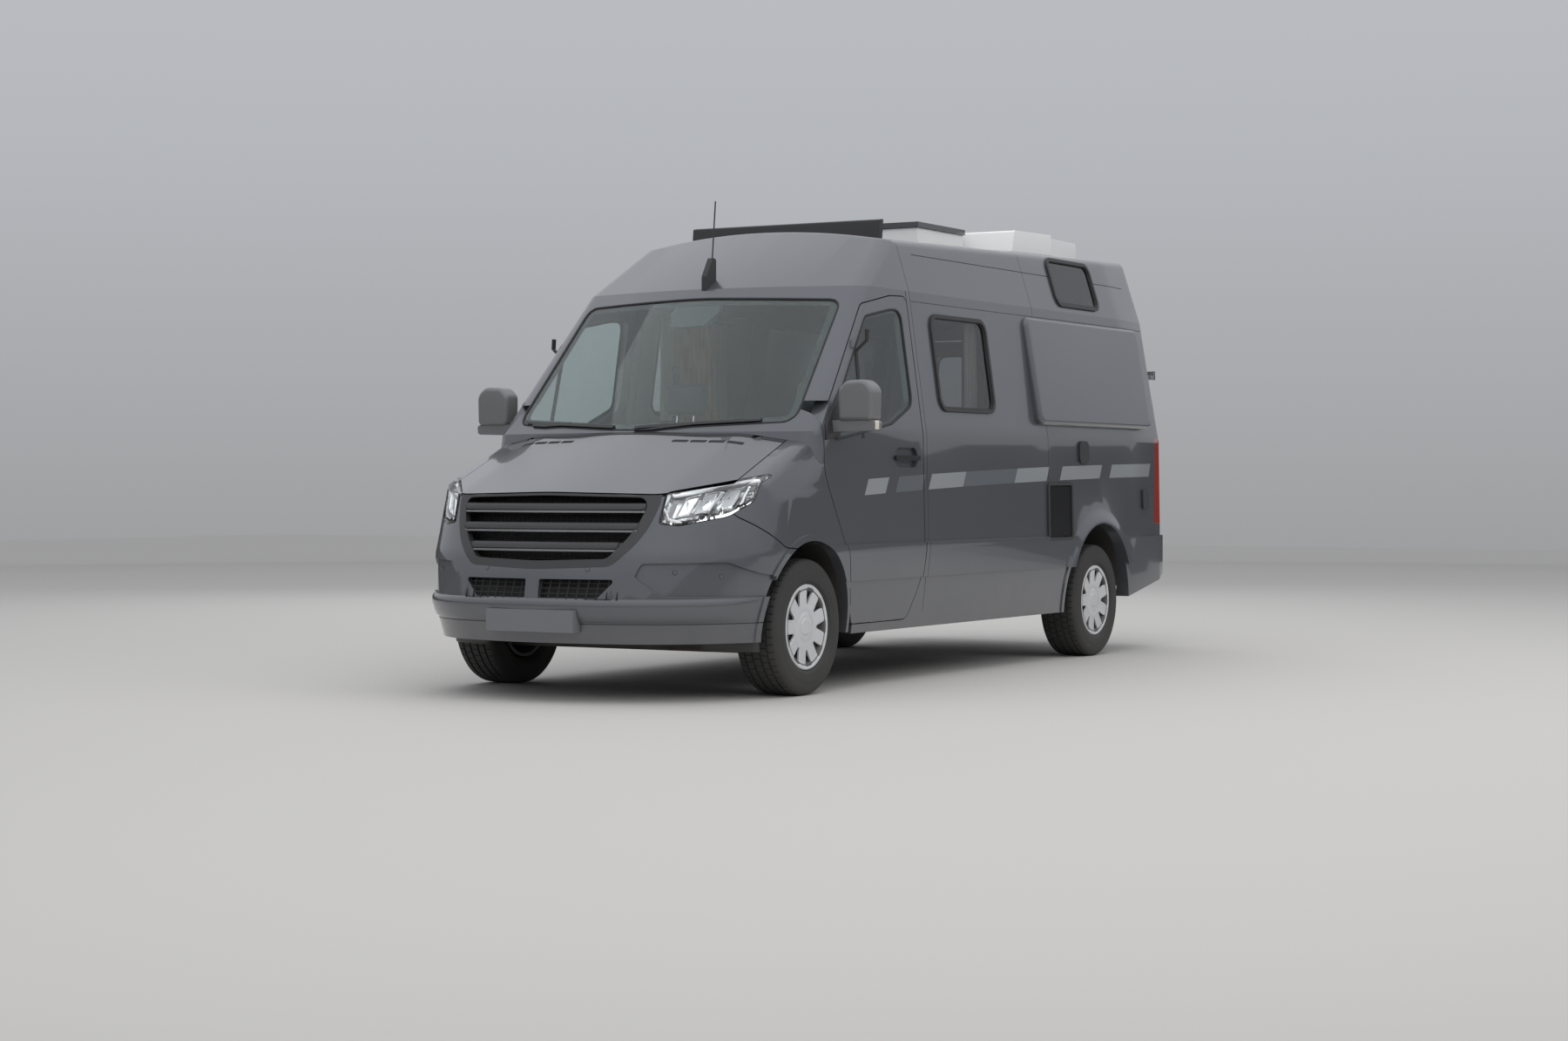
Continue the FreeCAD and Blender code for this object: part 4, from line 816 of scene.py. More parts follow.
def in_lamp(x, z, side, depth):
    """Point behind the headlamp's outer face, square to it."""
    start_at, ahead = Vector((x * side, -4, z)), Vector((0, 1, 0))
    spot, normal, _, _ = lamp_front.ray_cast(start_at, ahead)
    if spot is None:
        spot, normal, _, _ = lamp_front.find_nearest(Vector((x * side, -2.8, z)))
    if normal.y > 0:
        normal = -normal
    return spot - normal * depth


lens = outer_skin("headlamps", lambda n, c: n.y < -0.05)
lens = finish_piece("headlamp_lenses", lens, lens_look, "van", 40)
thicken(lens, 0.003)
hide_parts("headlamps")
housing = outer_skin("headlamps", lambda n, c: n.y >= -0.05, -0.001)
finish_piece("headlamp_housings", housing, housing_look, "van", 30)
for side in (-1, 1):
    word = "left" if side > 0 else "right"
    for number in range(3):
        module = bmesh.new()
        corners = []
        for (x0, z0), (x1, z1) in (LAMP_LOW, LAMP_HIGH):
            for share in (number / 3 + 0.03, (number + 1) / 3 - 0.035):
                corners.append((x0 + (x1 - x0) * share, z0 + (z1 - z0) * share))
        middle = Vector((sum(c[0] for c in corners) / 4, sum(c[1] for c in corners) / 4))
        rims = []
        for shrink, deep in MODULE_STEPS:
            ring = []
            for index in (0, 1, 3, 2):
                spot = Vector(corners[index]).lerp(middle, shrink)
                ring.append(module.verts.new(in_lamp(spot.x, spot.y, side, MODULE_DEPTH + deep)))
            rims.append(ring)
        stitch(module, rims, closed=True)
        finish_piece(f"lamp_module_{word}_{number}", module, reflector_look, "van", 25, 0.002)
    shade = bmesh.new()
    low = [in_lamp(x, z, side, 0.036) for x, z in ((0.640, 0.900), (0.76, 0.922), (0.90, 0.975))]
    high = [in_lamp(x, z, side, 0.036) for x, z in ((0.660, 1.018), (0.80, 1.05), (0.93, 1.085))]
    low = [shade.verts.new(spot) for spot in low]
    high = [shade.verts.new(spot) for spot in high]
    stitch(shade, (low, high))
    finish_piece(f"lamp_shade_{word}", shade, shade_look, "van")
    guide = bmesh.new()
    tube(guide, [in_lamp(x, z, side, 0.014) for x, z in GUIDE], 0.0065, 10)
    tube(guide, [in_lamp(x, z, side, 0.014) for x, z in BROW], 0.009, 10)
    finish_piece(f"light_guide_{word}", guide, guide_look, "van", 60)
    marker = bmesh.new()
    for number in range(6):
        z = 0.985 + 0.016 * number
        x = 0.922 + 0.0028 * number
        ends = [in_lamp(x - 0.010, z, side, 0.008), in_lamp(x + 0.006, z + 0.004, side, 0.008)]
        tube(marker, ends, 0.0035, 6)
    finish_piece(f"side_marker_{word}", marker, shade_look, "van", 60)


# Wheels: road tyres with five blocked ribs on steel rims, behind silver
# covers with nine broad spokes and a plain round cap; brake discs behind.
HUB_HEIGHT = 0.347
REAR_AXLE_Y = 1.718
TRACK_HALF = 0.868
TYRE_RADIUS = 0.3465
GROOVES = (-0.066, -0.023, 0.023, 0.066)
GROOVE_HALF = 0.0045
GROOVE_DEPTH = 0.008
SIPE_DEPTH = 0.006
PITCHES = 56
PITCH_STEPS = (0.0, 0.38, 0.41, 0.46, 0.50, 0.88, 0.91, 0.96)
SIDEWALL = ((0.082, 0.209), (0.1015, 0.214), (0.1095, 0.224), (0.1195, 0.236), (0.1225, 0.262),
            (0.1235, 0.284), (0.1215, 0.290), (0.1225, 0.296), (0.1185, 0.318),
            (0.1125, 0.332), (0.1040, 0.3405))

tyre_look, nodes, links, shader = new_finish("tyre_rubber", (0.030, 0.029, 0.028), 0.72)
tread_skin = use_group(tyre_look, grain, Colour=(0.036, 0.035, 0.034, 1),
                       Tone=(0.026, 0.0255, 0.025, 1), Scale=700.0, Relief=0.0003, Edge=0.0006)
tread_dust = use_group(tyre_look, dust, Film=(0.13, 0.12, 0.105, 1), Top=0.9, Amount=0.22)
links.new(tread_skin.outputs["Colour"], tread_dust.inputs["Colour"])
links.new(tread_dust.outputs["Colour"], shader.inputs["Base Color"])
links.new(tread_skin.outputs["Normal"], shader.inputs["Normal"])


def tyre_section():
    """Cross-section from one bead to the other: (offset, radius, rib number or None)."""
    left = [(-x, r, None) for x, r in SIDEWALL]
    tread = [(-0.098, 0.3435, 0), (-0.090, 0.3455, 0)]
    for number, groove in enumerate(GROOVES):
        for reach, deep, rib in ((-GROOVE_HALF - 0.001, 0, number), (-GROOVE_HALF, 1, None),
                                 (GROOVE_HALF, 1, None), (GROOVE_HALF + 0.001, 0, number + 1)):
            tread.append((groove + reach, TYRE_RADIUS - GROOVE_DEPTH * deep, rib))
    tread += [(0.090, 0.3455, 4), (0.098, 0.3435, 4)]
    return left + tread + [(x, r, None) for x, r in reversed(SIDEWALL)]


def tyre_mesh():
    """Whole tyre round the X axis: every other rib has its cuts half a pitch on."""
    bm = bmesh.new()
    rings = []
    section = tyre_section()
    for pitch in range(PITCHES):
        for step, share in enumerate(PITCH_STEPS):
            angle = math.tau * (pitch + share) / PITCHES
            ring = []
            for offset, radius, rib in section:
                cut_here = rib is not None and step in ((2, 3) if rib % 2 else (6, 7))
                reach = radius - (SIPE_DEPTH if cut_here else 0)
                ring.append(bm.verts.new((offset, reach * math.cos(angle),
                                          reach * math.sin(angle))))
            rings.append(ring)
    stitch(bm, rings + rings[:1], closed=True)
    bmesh.ops.recalc_face_normals(bm, faces=bm.faces)
    return smooth_mesh("road_tyre", bm, tyre_look, 32)


cover_look = moulded("wheel_cover", (0.66, 0.67, 0.68), (0.60, 0.61, 0.62), 0.32, 260.0,
                     0.00006, 0.0025, metallic=0.35, dusty=0.15)
rim_look = moulded("steel_rim", (0.11, 0.11, 0.115), (0.08, 0.08, 0.085), 0.5, 300.0, 0.0001,
                   0.002, metallic=0.4, dusty=0.4)
SPOKES = 9
COVER_ROWS = (0.036, 0.041, 0.060, 0.066, 0.085, 0.100, 0.110, 0.116, 0.126, 0.142, 0.158,
              0.170, 0.178, 0.183, 0.186, 0.193, 0.199, 0.203)
COVER_SPREAD = 1.07
WINDOW_LOW = 0.110
WINDOW_HIGH = 0.186
COVER_FORM = ((0.0, 0.104), (0.036, 0.1035), (0.041, 0.1005), (0.060, 0.1015), (0.066, 0.0985),
              (0.105, 0.0975), (0.145, 0.1000), (0.170, 0.1030), (0.186, 0.1060),
              (0.193, 0.1110), (0.199, 0.1115), (0.203, 0.1080))


def cover_height(radius):
    """How far the cover's face stands out from the wheel's middle at a radius."""
    for (near, low), (far, high) in zip(COVER_FORM, COVER_FORM[1:]):
        if radius <= far:
            return low + (high - low) * (radius - near) / (far - near)
    return COVER_FORM[-1][1]


def window_half(radius):
    """Half angle of the opening between two spokes."""
    share = (radius - WINDOW_LOW) / (WINDOW_HIGH - WINDOW_LOW)
    share = min(max(share, 0.0), 1.0)
    ends = min(1.0, math.sqrt(max(0.0, 4.5 * share * (1.02 - share) * 3)) * 0.78 + 0.25)
    return math.radians(3.4 + 6.6 * share) * ends


def cover_mesh():
    """Moulded cover: a ring of spokes with turned-in edges round each opening."""
    bm = bmesh.new()
    half_pitch = math.pi / SPOKES
    columns = (0.0, 0.5, 1.0, 1.18, 1.6, 2.0)
    for sector in range(SPOKES):
        for mirror in (-1, 1):
            grid = []
            for radius in COVER_ROWS:
                opening = window_half(radius)
                row = []
                for column in columns:
                    if column <= 1:
                        angle = opening * column
                    else:
                        angle = opening + (half_pitch - opening) * (column - 1)
                    crown = 0.0
                    if column >= 1.18 and WINDOW_LOW - 0.01 < radius < WINDOW_HIGH + 0.004:
                        crown = 0.0022
                    spot = math.tau * (sector + 0.5) / SPOKES + angle * mirror
                    wide = radius * COVER_SPREAD
                    row.append(bm.verts.new((cover_height(radius) + crown,
                                             wide * math.cos(spot), wide * math.sin(spot))))
                grid.append(row)
            for number, (one, two) in enumerate(zip(grid, grid[1:])):
                middle = (COVER_ROWS[number] + COVER_ROWS[number + 1]) / 2
                for k in range(len(columns) - 1):
                    if k < 2 and WINDOW_LOW < middle < WINDOW_HIGH:
                        continue
                    bm.faces.new((one[k], one[k + 1], two[k + 1], two[k]))
    bmesh.ops.remove_doubles(bm, verts=bm.verts, dist=0.0001)
    rim = [edge for edge in bm.edges if len(edge.link_faces) == 1]
    folded = bmesh.ops.extrude_edge_only(bm, edges=rim)["geom"]
    for vert in folded:
        if isinstance(vert, bmesh.types.BMVert):
            vert.co.x -= 0.010
    centre = bm.verts.new((cover_height(0.0), 0, 0))
    hole = COVER_ROWS[0] * COVER_SPREAD
    inner = sorted((v for v in bm.verts if abs(math.hypot(v.co.y, v.co.z) - hole) < 1e-4
                    and v.co.x > 0.099), key=lambda v: math.atan2(v.co.z, v.co.y))
    for one, two in zip(inner, inner[1:] + inner[:1]):
        bm.faces.new((one, two, centre))
    bmesh.ops.recalc_face_normals(bm, faces=bm.faces)
    return smooth_mesh("wheel_cover", bm, cover_look, 26)


road_tyre = tyre_mesh()
spoked_cover = cover_mesh()
disc_look = moulded("brake_disc", (0.30, 0.29, 0.28), (0.20, 0.17, 0.15), 0.35, 120.0, 0.0001,
                    0.001, metallic=0.9)
caliper_look = moulded("brake_caliper", (0.055, 0.055, 0.057), (0.075, 0.066, 0.06), 0.7, 180.0,
                       0.0004, 0.003, metallic=0.3)
disc = bmesh.new()
rims = []
for offset, radius in ((-0.004, 0.075), (-0.004, 0.150), (0.020, 0.150), (0.020, 0.088),
                       (0.034, 0.084), (0.034, 0.04)):
    rims.append([disc.verts.new((offset, radius * math.cos(math.tau * k / 64),
                                 radius * math.sin(math.tau * k / 64))) for k in range(64)])
stitch(disc, rims, closed=True)
disc_mesh = smooth_mesh("brake_disc", disc, disc_look, 30)
for axle, axle_y in (("front", FRONT_AXLE_Y), ("rear", REAR_AXLE_Y)):
    for word, side in SIDES:
        place = Matrix.Translation((TRACK_HALF * side, axle_y, HUB_HEIGHT))
        if side < 0:
            place = place @ Matrix.Rotation(math.pi, 4, "Z")
        wheel_body = f"wheel_{axle}_{word}"
        tyre = link(road_tyre, f"road_tyre_{axle}_{word}")
        tyre.matrix_world = place
        place = place @ Matrix.Rotation(math.radians(11 + 7 * side), 4, "X")
        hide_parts(f"tyre_{axle}_{word}")
        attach(tyre, wheel_body)
        cover = link(spoked_cover, f"wheel_cover_{axle}_{word}")
        cover.matrix_world = place
        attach(cover, wheel_body)
        dress(f"rim_{axle}_{word}", rim_look)
        rotor = link(disc_mesh, f"brake_disc_{axle}_{word}")
        # The steered discs sit further out, clear of the axle's fork.
        inset = -0.006 if axle == "front" else -0.030
        rotor.matrix_world = place @ Matrix.Translation((inset, 0, 0))
        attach(rotor, wheel_body)
        caliper = bmesh.new()
        rows = []
        for turn in range(7):
            angle = math.radians(150 + 10 * turn)
            rows.append([caliper.verts.new((offset, radius * math.cos(angle),
                                            radius * math.sin(angle)))
                         for offset, radius in ((inset - 0.032, 0.100), (inset - 0.032, 0.166),
                                                (inset + 0.034, 0.166), (inset + 0.034, 0.100))])
        stitch(caliper, rows, closed=True)
        caliper.faces.new(rows[0])
        caliper.faces.new(rows[-1])
        block = finish_piece(f"brake_caliper_{axle}_{word}", caliper, caliper_look, None, 35,
                             0.004)
        block.matrix_world = Matrix.Translation((TRACK_HALF * side, axle_y, HUB_HEIGHT)) @ (
            Matrix.Rotation(math.pi if side < 0 else 0, 4, "Z"))
        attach(block, f"steer_{word}_body" if axle == "front" else "van")

# Under the floor: black chassis steel and castings with a film of road dust,
# an aluminised exhaust, moulded tanks and the dark inside of the arches.
chassis = moulded("chassis_black", (0.022, 0.022, 0.023), (0.034, 0.032, 0.030), 0.6, 160.0,
                  0.0003, 0.003, metallic=0.2, dusty=0.8)
casting = moulded("cast_iron", (0.060, 0.058, 0.055), (0.085, 0.07, 0.058), 0.75, 90.0, 0.0008,
                  0.004, metallic=0.4, dusty=0.8)
exhaust_look = moulded("exhaust_steel", (0.34, 0.33, 0.31), (0.26, 0.22, 0.18), 0.42, 60.0,
                       0.0002, 0.003, metallic=0.9, dusty=0.6)
tank_look = moulded("moulded_tank", (0.032, 0.032, 0.034), (0.045, 0.044, 0.042), 0.55, 200.0,
                    0.0005, 0.012, dusty=0.8)
UNDERSIDE = {"underframe": chassis, "front_axle": chassis, "rear_axle": casting,
             "knuckle_left": casting, "knuckle_right": casting, "engine": casting,
             "exhaust": exhaust_look, "tanks": tank_look, "floor_pan": chassis}
for node, look in UNDERSIDE.items():
    dress(node, look)
for word, side in SIDES:
    legs = bmesh.new()
    tube(legs, [(0.62 * side, FRONT_AXLE_Y, 0.33), (0.60 * side, FRONT_AXLE_Y, 0.60)], 0.030, 16)
    tube(legs, [(0.62 * side, FRONT_AXLE_Y, 0.33), (0.59 * side, FRONT_AXLE_Y, 0.74)], 0.016, 12)
    tube(legs, [(0.55 * side, REAR_AXLE_Y + 0.10, 0.33), (0.50 * side, REAR_AXLE_Y + 0.26, 0.60)],
         0.028, 16)
    finish_piece(f"dampers_{word}", legs, chassis, "van", 50)
    coil = bmesh.new()
    turns = [(0.61 * side + 0.062 * math.cos(k * 0.5), FRONT_AXLE_Y + 0.062 * math.sin(k * 0.5),
              0.375 + 0.0035 * k) for k in range(64)]
    tube(coil, turns, 0.0065, 8)
    finish_piece(f"front_spring_{word}", coil, chassis, "van", 60)
shaft = bmesh.new()
tube(shaft, [(0.0, -1.84, 0.52), (0.0, -0.30, 0.47), (0.0, REAR_AXLE_Y - 0.14, HUB_HEIGHT)],
     0.034, 20)
tube(shaft, [(0.30, REAR_AXLE_Y - 0.9, 0.44), (0.30, REAR_AXLE_Y - 0.2, 0.40)], 0.006, 8)
finish_piece("propeller_shaft", shaft, chassis, "van", 50)
tail_pipe = bmesh.new()
tube(tail_pipe, [(-0.25, 0.55, 0.42), (-0.27, 1.25, 0.44), (-0.33, 1.60, 0.50),
                 (-0.36, 2.05, 0.46), (-0.52, 2.30, 0.40), (-0.60, 2.42, 0.37)], 0.027, 18)
finish_piece("tail_pipe", tail_pipe, exhaust_look, "van", 50)

# Wheel deflectors: flat black moulded plates under the bumper, one ahead of
# each front wheel, folded at the top where they clip to the bumper's edge.
DEFLECTOR_Y = FRONT_AXLE_Y - 0.50
deflectors = bmesh.new()
for side in (-1, 1):
    columns = []
    for number in range(9):
        x = side * (0.64 + 0.29 * number / 8)
        sweep = 0.10 * (number / 8) ** 2
        columns.append([deflectors.verts.new((x, DEFLECTOR_Y + back + sweep, z))
                        for back, z in ((0.030, 0.345), (0.004, 0.338), (0.0, 0.325),
                                        (0.003, 0.280), (0.008, 0.243), (0.014, 0.238))])
    stitch(deflectors, columns)
thicken(finish_piece("wheel_deflectors", deflectors, black_plastic, "van", 60), 0.006)


# Cab seats: two foam seats in grey woven cloth with raised side rolls and
# sewn channels, a headrest on two chrome posts, on moulded plinths.
def woven(name, colour, tone_colour, roughness, sheen, scale, relief, edge, patch):
    """Cloth: a fine weave in two tones with a slight sheen."""
    look, nodes, links, shader = new_finish(name, colour, roughness, Sheen_Weight=sheen)
    weave = use_group(look, grain, Colour=(*colour, 1), Tone=(*tone_colour, 1), Scale=scale,
                      Relief=relief, Edge=edge, Patch=patch)
    links.new(weave.outputs["Colour"], shader.inputs["Base Color"])
    links.new(weave.outputs["Normal"], shader.inputs["Normal"])
    return look


cloth = woven("seat_cloth", (0.098, 0.10, 0.106), (0.070, 0.072, 0.077), 0.9, 0.25, 1400.0,
              0.0008, 0.003, 9.0)
chrome = moulded("chrome", (0.62, 0.62, 0.63), (0.56, 0.56, 0.57), 0.1, 300.0, 0.00002, 0.001,
                 metallic=1.0)
interior_black = moulded("interior_black", (0.040, 0.041, 0.043), (0.052, 0.053, 0.055), 0.68,
                         700.0, 0.0005, 0.003)


def rounded_block(bm, size, middle, turn=0.0, round_by=0.03, bow=0.0):
    """Block with rounded edges, bowed on its upper face, turned about X, added to bm."""
    made = bmesh.ops.create_cube(bm, size=1)["verts"]
    edges = {edge for vert in made for edge in vert.link_edges}
    for vert in made:
        vert.co = Vector([vert.co[k] * size[k] for k in range(3)])
    rounded = bmesh.ops.bevel(bm, geom=list(edges), offset=round_by, segments=4, profile=0.6,
                              affect="EDGES")
    every = {vert for face in rounded["faces"] for vert in face.verts} | {
        vert for vert in made if vert.is_valid}
    for vert in every:
        if bow and vert.co.z > 0:
            vert.co.z += bow * (1 - min(1, (2 * vert.co.x / size[0]) ** 2))
        vert.co = Matrix.Rotation(turn, 3, "X") @ vert.co + Vector(middle)
    return every


def swell(made, voxel, pressure, most, steps=20):
    """Fills a cushion: remesh, blow up as pressed cloth, and cap how far each point moves."""
    remesh = made.modifiers.new("even_mesh", "REMESH")
    remesh.mode = "VOXEL"
    remesh.voxel_size = voxel
    depsgraph = bpy.context.evaluated_depsgraph_get()
    even = bpy.data.meshes.new_from_object(made.evaluated_get(depsgraph))
    made.modifiers.remove(remesh)
    even.name = made.data.name
    looks = list(made.data.materials)
    made.data = even
    even.materials.clear()
    for look in looks:
        even.materials.append(look)
    start = [vert.co.copy() for vert in even.vertices]
    blown = made.modifiers.new("air", "CLOTH")
    blown.settings.use_pressure = True
    blown.settings.uniform_pressure_force = pressure
    blown.settings.effector_weights.gravity = 0
    blown.point_cache.frame_end = steps
    for step in range(1, steps + 1):
        scene.frame_set(step)
    depsgraph = bpy.context.evaluated_depsgraph_get()
    full = bpy.data.meshes.new_from_object(made.evaluated_get(depsgraph))
    made.modifiers.remove(blown)
    for vert, end_at, from_here in zip(even.vertices, full.vertices, start):
        move = end_at.co - from_here
        if move.length > most:
            move *= most / move.length
        vert.co = from_here + move
    bpy.data.meshes.remove(full)
    scene.frame_set(1)
    for face in even.polygons:
        face.use_smooth = True
    return made


def sewn(made, lines, depth, reach):
    """Presses sewn channels into a cushion: lines are (axis, place, lowest normal test)."""
    for vert in made.data.vertices:
        for axis, spot, facing in lines:
            if vert.normal[facing[0]] * facing[1] > 0.35:
                near = abs(vert.co[axis] - spot) / reach
                if near < 1:
                    vert.co -= vert.normal * depth * (1 - near * near)
    made.data.update()
    return made


SEAT_SIDE = 0.43
SEAT_Y = FRONT_AXLE_Y + 1.01
SEAT_PARTS = {
    "cushion": ((0.48, 0.50, 0.12), (0, SEAT_Y - 0.26, 0.81), math.radians(3)),
    "back": ((0.47, 0.52, 0.115), (0, SEAT_Y + 0.02, 1.165), math.radians(80)),
    "headrest": ((0.255, 0.17, 0.10), (0, SEAT_Y + 0.095, 1.545), math.radians(83))}
seat_pads = {}
for word, (size, middle, turn) in SEAT_PARTS.items():
    pad = bmesh.new()
    rounded_block(pad, size, middle, turn, 0.04, 0.012)
    seat_pads[word] = swell(finish_piece(f"seat_{word}_left", pad, cloth), 0.012, 4.0, 0.012)
sewn(seat_pads["cushion"], [(0, x, (2, 1)) for x in (-0.15, 0.15)] +
     [(1, SEAT_Y - 0.26 + k * 0.09, (2, 1)) for k in (-1, 0, 1)], 0.007, 0.012)
sewn(seat_pads["back"], [(0, x, (1, -1)) for x in (-0.15, 0.15)] +
     [(2, 1.165 + k * 0.11, (1, -1)) for k in (-1, 0, 1)], 0.007, 0.012)
for word, pad in seat_pads.items():
    smooth = pad.modifiers.new("smooth", "SUBSURF")
    smooth.levels = smooth.render_levels = 1
    other = link(pad.data, f"seat_{word}_right")
    twin = other.modifiers.new("smooth", "SUBSURF")
    twin.levels = twin.render_levels = 1
    for made, side in ((pad, 1), (other, -1)):
        made.location.x = SEAT_SIDE * side
        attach(made, "van")
for side in (-1, 1):
    base = bmesh.new()
    rounded_block(base, (0.40, 0.42, 0.14), (SEAT_SIDE * side, SEAT_Y - 0.26, 0.715), 0, 0.02)
    rounded_block(base, (0.44, 0.46, 0.03), (SEAT_SIDE * side, SEAT_Y - 0.24, 0.755), 0, 0.012)
    rounded_block(base, (0.42, 0.05, 0.50), (SEAT_SIDE * side, SEAT_Y + 0.085, 1.16),
                  math.radians(-10), 0.02)
    plinth = finish_piece(f"seat_plinth_{side + 1}", base, interior_black, "van", 40)
    posts = bmesh.new()
    for reach in (-0.055, 0.055):
        x = SEAT_SIDE * side + reach
        tube(posts, [(x, SEAT_Y + 0.075, 1.39), (x, SEAT_Y + 0.093, 1.50)], 0.006, 12)
    finish_piece(f"headrest_posts_{side + 1}", posts, chrome, "van", 60)
    belt = bmesh.new()
    x = SEAT_SIDE * side + 0.2 * side
    bar(belt, (x - 0.023, SEAT_Y + 0.30, 0.75), (x + 0.023, SEAT_Y + 0.302, 1.75))
    finish_piece(f"belt_{side + 1}", belt, interior_black, "van")
    if side < 0:
        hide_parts("cab_seats")

# Dashboard: moulded soft black top with an instrument hood, air vents,
# a dark touch screen and a blank wheel boss; leather on the steering wheel.
leather = moulded("wheel_leather", (0.030, 0.030, 0.032), (0.042, 0.042, 0.044), 0.5, 260.0,
                  0.0006, 0.002)
dress("dashboard", interior_black)
dress("steering_wheel", leather)
hood = bmesh.new()
for number in range(9):
    angle = math.pi * number / 8
    x = 0.42 + 0.19 * math.cos(angle)
    high = 1.30 + 0.085 * math.sin(angle)
    bar(hood, (x - 0.04, FRONT_AXLE_Y + 0.34, 1.26), (x + 0.04, FRONT_AXLE_Y + 0.50, high))
finish_piece("instrument_hood", hood, interior_black, "van", 40, 0.008, 3)
screen_panel = bmesh.new()
rounded_block(screen_panel, (0.27, 0.018, 0.16), (0.0, FRONT_AXLE_Y + 0.545, 1.20),
              math.radians(-18), 0.006)
finish_piece("touch_screen", screen_panel, gloss_black, "van", 30)
vents = bmesh.new()
for x in (-0.66, -0.22, 0.17, 0.68):
    for number in range(4):
        bar(vents, (x - 0.055, FRONT_AXLE_Y + 0.592, 1.10 + number * 0.016),
            (x + 0.055, FRONT_AXLE_Y + 0.604, 1.107 + number * 0.016))
finish_piece("air_vents", vents, gloss_black, "van", 30, 0.001)
boss = bmesh.new()
rounded_block(boss, (0.17, 0.12, 0.035), (0, 0, 0), 0, 0.014, 0.006)
boss_piece = finish_piece("wheel_boss", boss, interior_black, None, 50)
boss_piece.matrix_world = (Matrix.Translation((0.42, FRONT_AXLE_Y + 0.70, 1.165)) @
                           Matrix.Rotation(math.radians(-62), 4, "X") @
                           Matrix.Translation((0, 0, 0.022)))
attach(boss_piece, "steering_wheel_body")

# Behind the screen: a black sensor housing; black printed borders hide the
# bonded edges of the glass.
screen_face = surface_of("windscreen")
camera_box = bmesh.new()
OUTLINE = ((-0.14, 2.035), (0.14, 2.035), (0.155, 1.99), (0.10, 1.915), (-0.10, 1.915),
           (-0.155, 1.99))
near_ring, far_ring = [], []
for x, z in OUTLINE:
    spot = from_front(screen_face, x, z)
    near_ring.append(camera_box.verts.new(spot + Vector((0, 0.010, 0))))
    far_ring.append(camera_box.verts.new(spot + Vector((0, 0.055, -0.008))))
camera_box.faces.new(near_ring)
camera_box.faces.new(far_ring)
stitch(camera_box, (near_ring, far_ring), closed=True)
finish_piece("sensor_housing", camera_box, interior_black, "van", 30, 0.006)
FRIT_WIDTHS = {"windscreen": 0.045, "door_left_pane": 0.020, "door_right_pane": 0.020}
for node, width in FRIT_WIDTHS.items():
    body, outward, _ = SEALS[node]
    skin = outer_skin(node, outward)
    border = bmesh.new()
    loop = evened(max(boundary_loops(skin), key=len), 0.035)
    middle = sum(loop, Vector()) / len(loop)
    tree = BVHTree.FromBMesh(skin)
    outer_ring, inner_ring = [], []
    for index, spot in enumerate(loop):
        ahead = (loop[(index + 1) % len(loop)] - loop[index - 1]).normalized()
        near, normal, _, _ = tree.find_nearest(spot)
        inwards = ahead.cross(normal)
        if inwards.dot(middle - spot) < 0:
            inwards = -inwards
        outer_ring.append(border.verts.new(spot - normal * 0.0066))
        landed = tree.find_nearest(spot + inwards * width)[0]
        inner_ring.append(border.verts.new(landed - normal * 0.0066))
    stitch(border, (outer_ring, inner_ring), closed=True)
    skin.free()
    finish_piece(node + "_border", border, rubber, body, 60)


# Living space: light oak furniture with thin door fronts and bar pulls, a
# dark worktop with sink and hob, a quilted mattress and pillows across the
# rear, and pleated cream curtains beside the side windows.
oak, nodes, links, shader = new_finish("light_oak", (0.46, 0.31, 0.18), 0.48)
where = nodes.new("ShaderNodeTexCoord")
stretch = nodes.new("ShaderNodeMapping")
stretch.inputs["Scale"].default_value = (6, 6, 0.6)
rings = nodes.new("ShaderNodeTexNoise")
rings.inputs["Scale"].default_value = 9
rings.inputs["Detail"].default_value = 8
rings.inputs["Distortion"].default_value = 1.2
tones = nodes.new("ShaderNodeValToRGB")
tones.color_ramp.elements[0].position = 0.35
tones.color_ramp.elements[0].color = (0.36, 0.225, 0.12, 1)
tones.color_ramp.elements[1].position = 0.68
tones.color_ramp.elements[1].color = (0.54, 0.38, 0.235, 1)
fibre = nodes.new("ShaderNodeBump")
fibre.inputs["Distance"].default_value = 0.0004
fibre.inputs["Strength"].default_value = 0.4
links.new(where.outputs["Object"], stretch.inputs["Vector"])
links.new(stretch.outputs["Vector"], rings.inputs["Vector"])
links.new(rings.outputs["Fac"], tones.inputs["Fac"])
links.new(tones.outputs["Color"], shader.inputs["Base Color"])
links.new(rings.outputs["Fac"], fibre.inputs["Height"])
links.new(fibre.outputs["Normal"], shader.inputs["Normal"])
dress("cabinets", oak)
worktop_look = moulded("worktop", (0.055, 0.054, 0.052), (0.080, 0.078, 0.075), 0.35, 160.0,
                       0.0001, 0.002)
DOOR_THICK = 0.006
fronts = bmesh.new()
pulls = bmesh.new()
for low_y, high_y, low_z, high_z, x in (
        (-0.24, 0.13, 0.70, 1.23, 0.380), (0.14, 0.51, 0.70, 1.23, 0.380),
        (0.52, 0.89, 0.70, 1.23, 0.380), (0.91, 1.29, 0.70, 2.03, 0.450)):
    bar(fronts, (x - DOOR_THICK, low_y, low_z), (x - 0.0002, high_y, high_z))
    pull_z = high_z - 0.05 if high_z < 1.5 else 1.35
    tube(pulls, [(x - 0.022, low_y + 0.12, pull_z), (x - 0.022, high_y - 0.12, pull_z)], 0.005, 10)
    for y in (low_y + 0.13, high_y - 0.13):
        tube(pulls, [(x - 0.022, y, pull_z), (x - 0.004, y, pull_z)], 0.004, 8)
finish_piece("cupboard_fronts", fronts, oak, "van", 30, 0.001)
finish_piece("cupboard_pulls", pulls, chrome, "van", 50)
top_plate = bmesh.new()
bar(top_plate, (0.365, -0.25, 1.2802), (0.86, 0.90, 1.300))
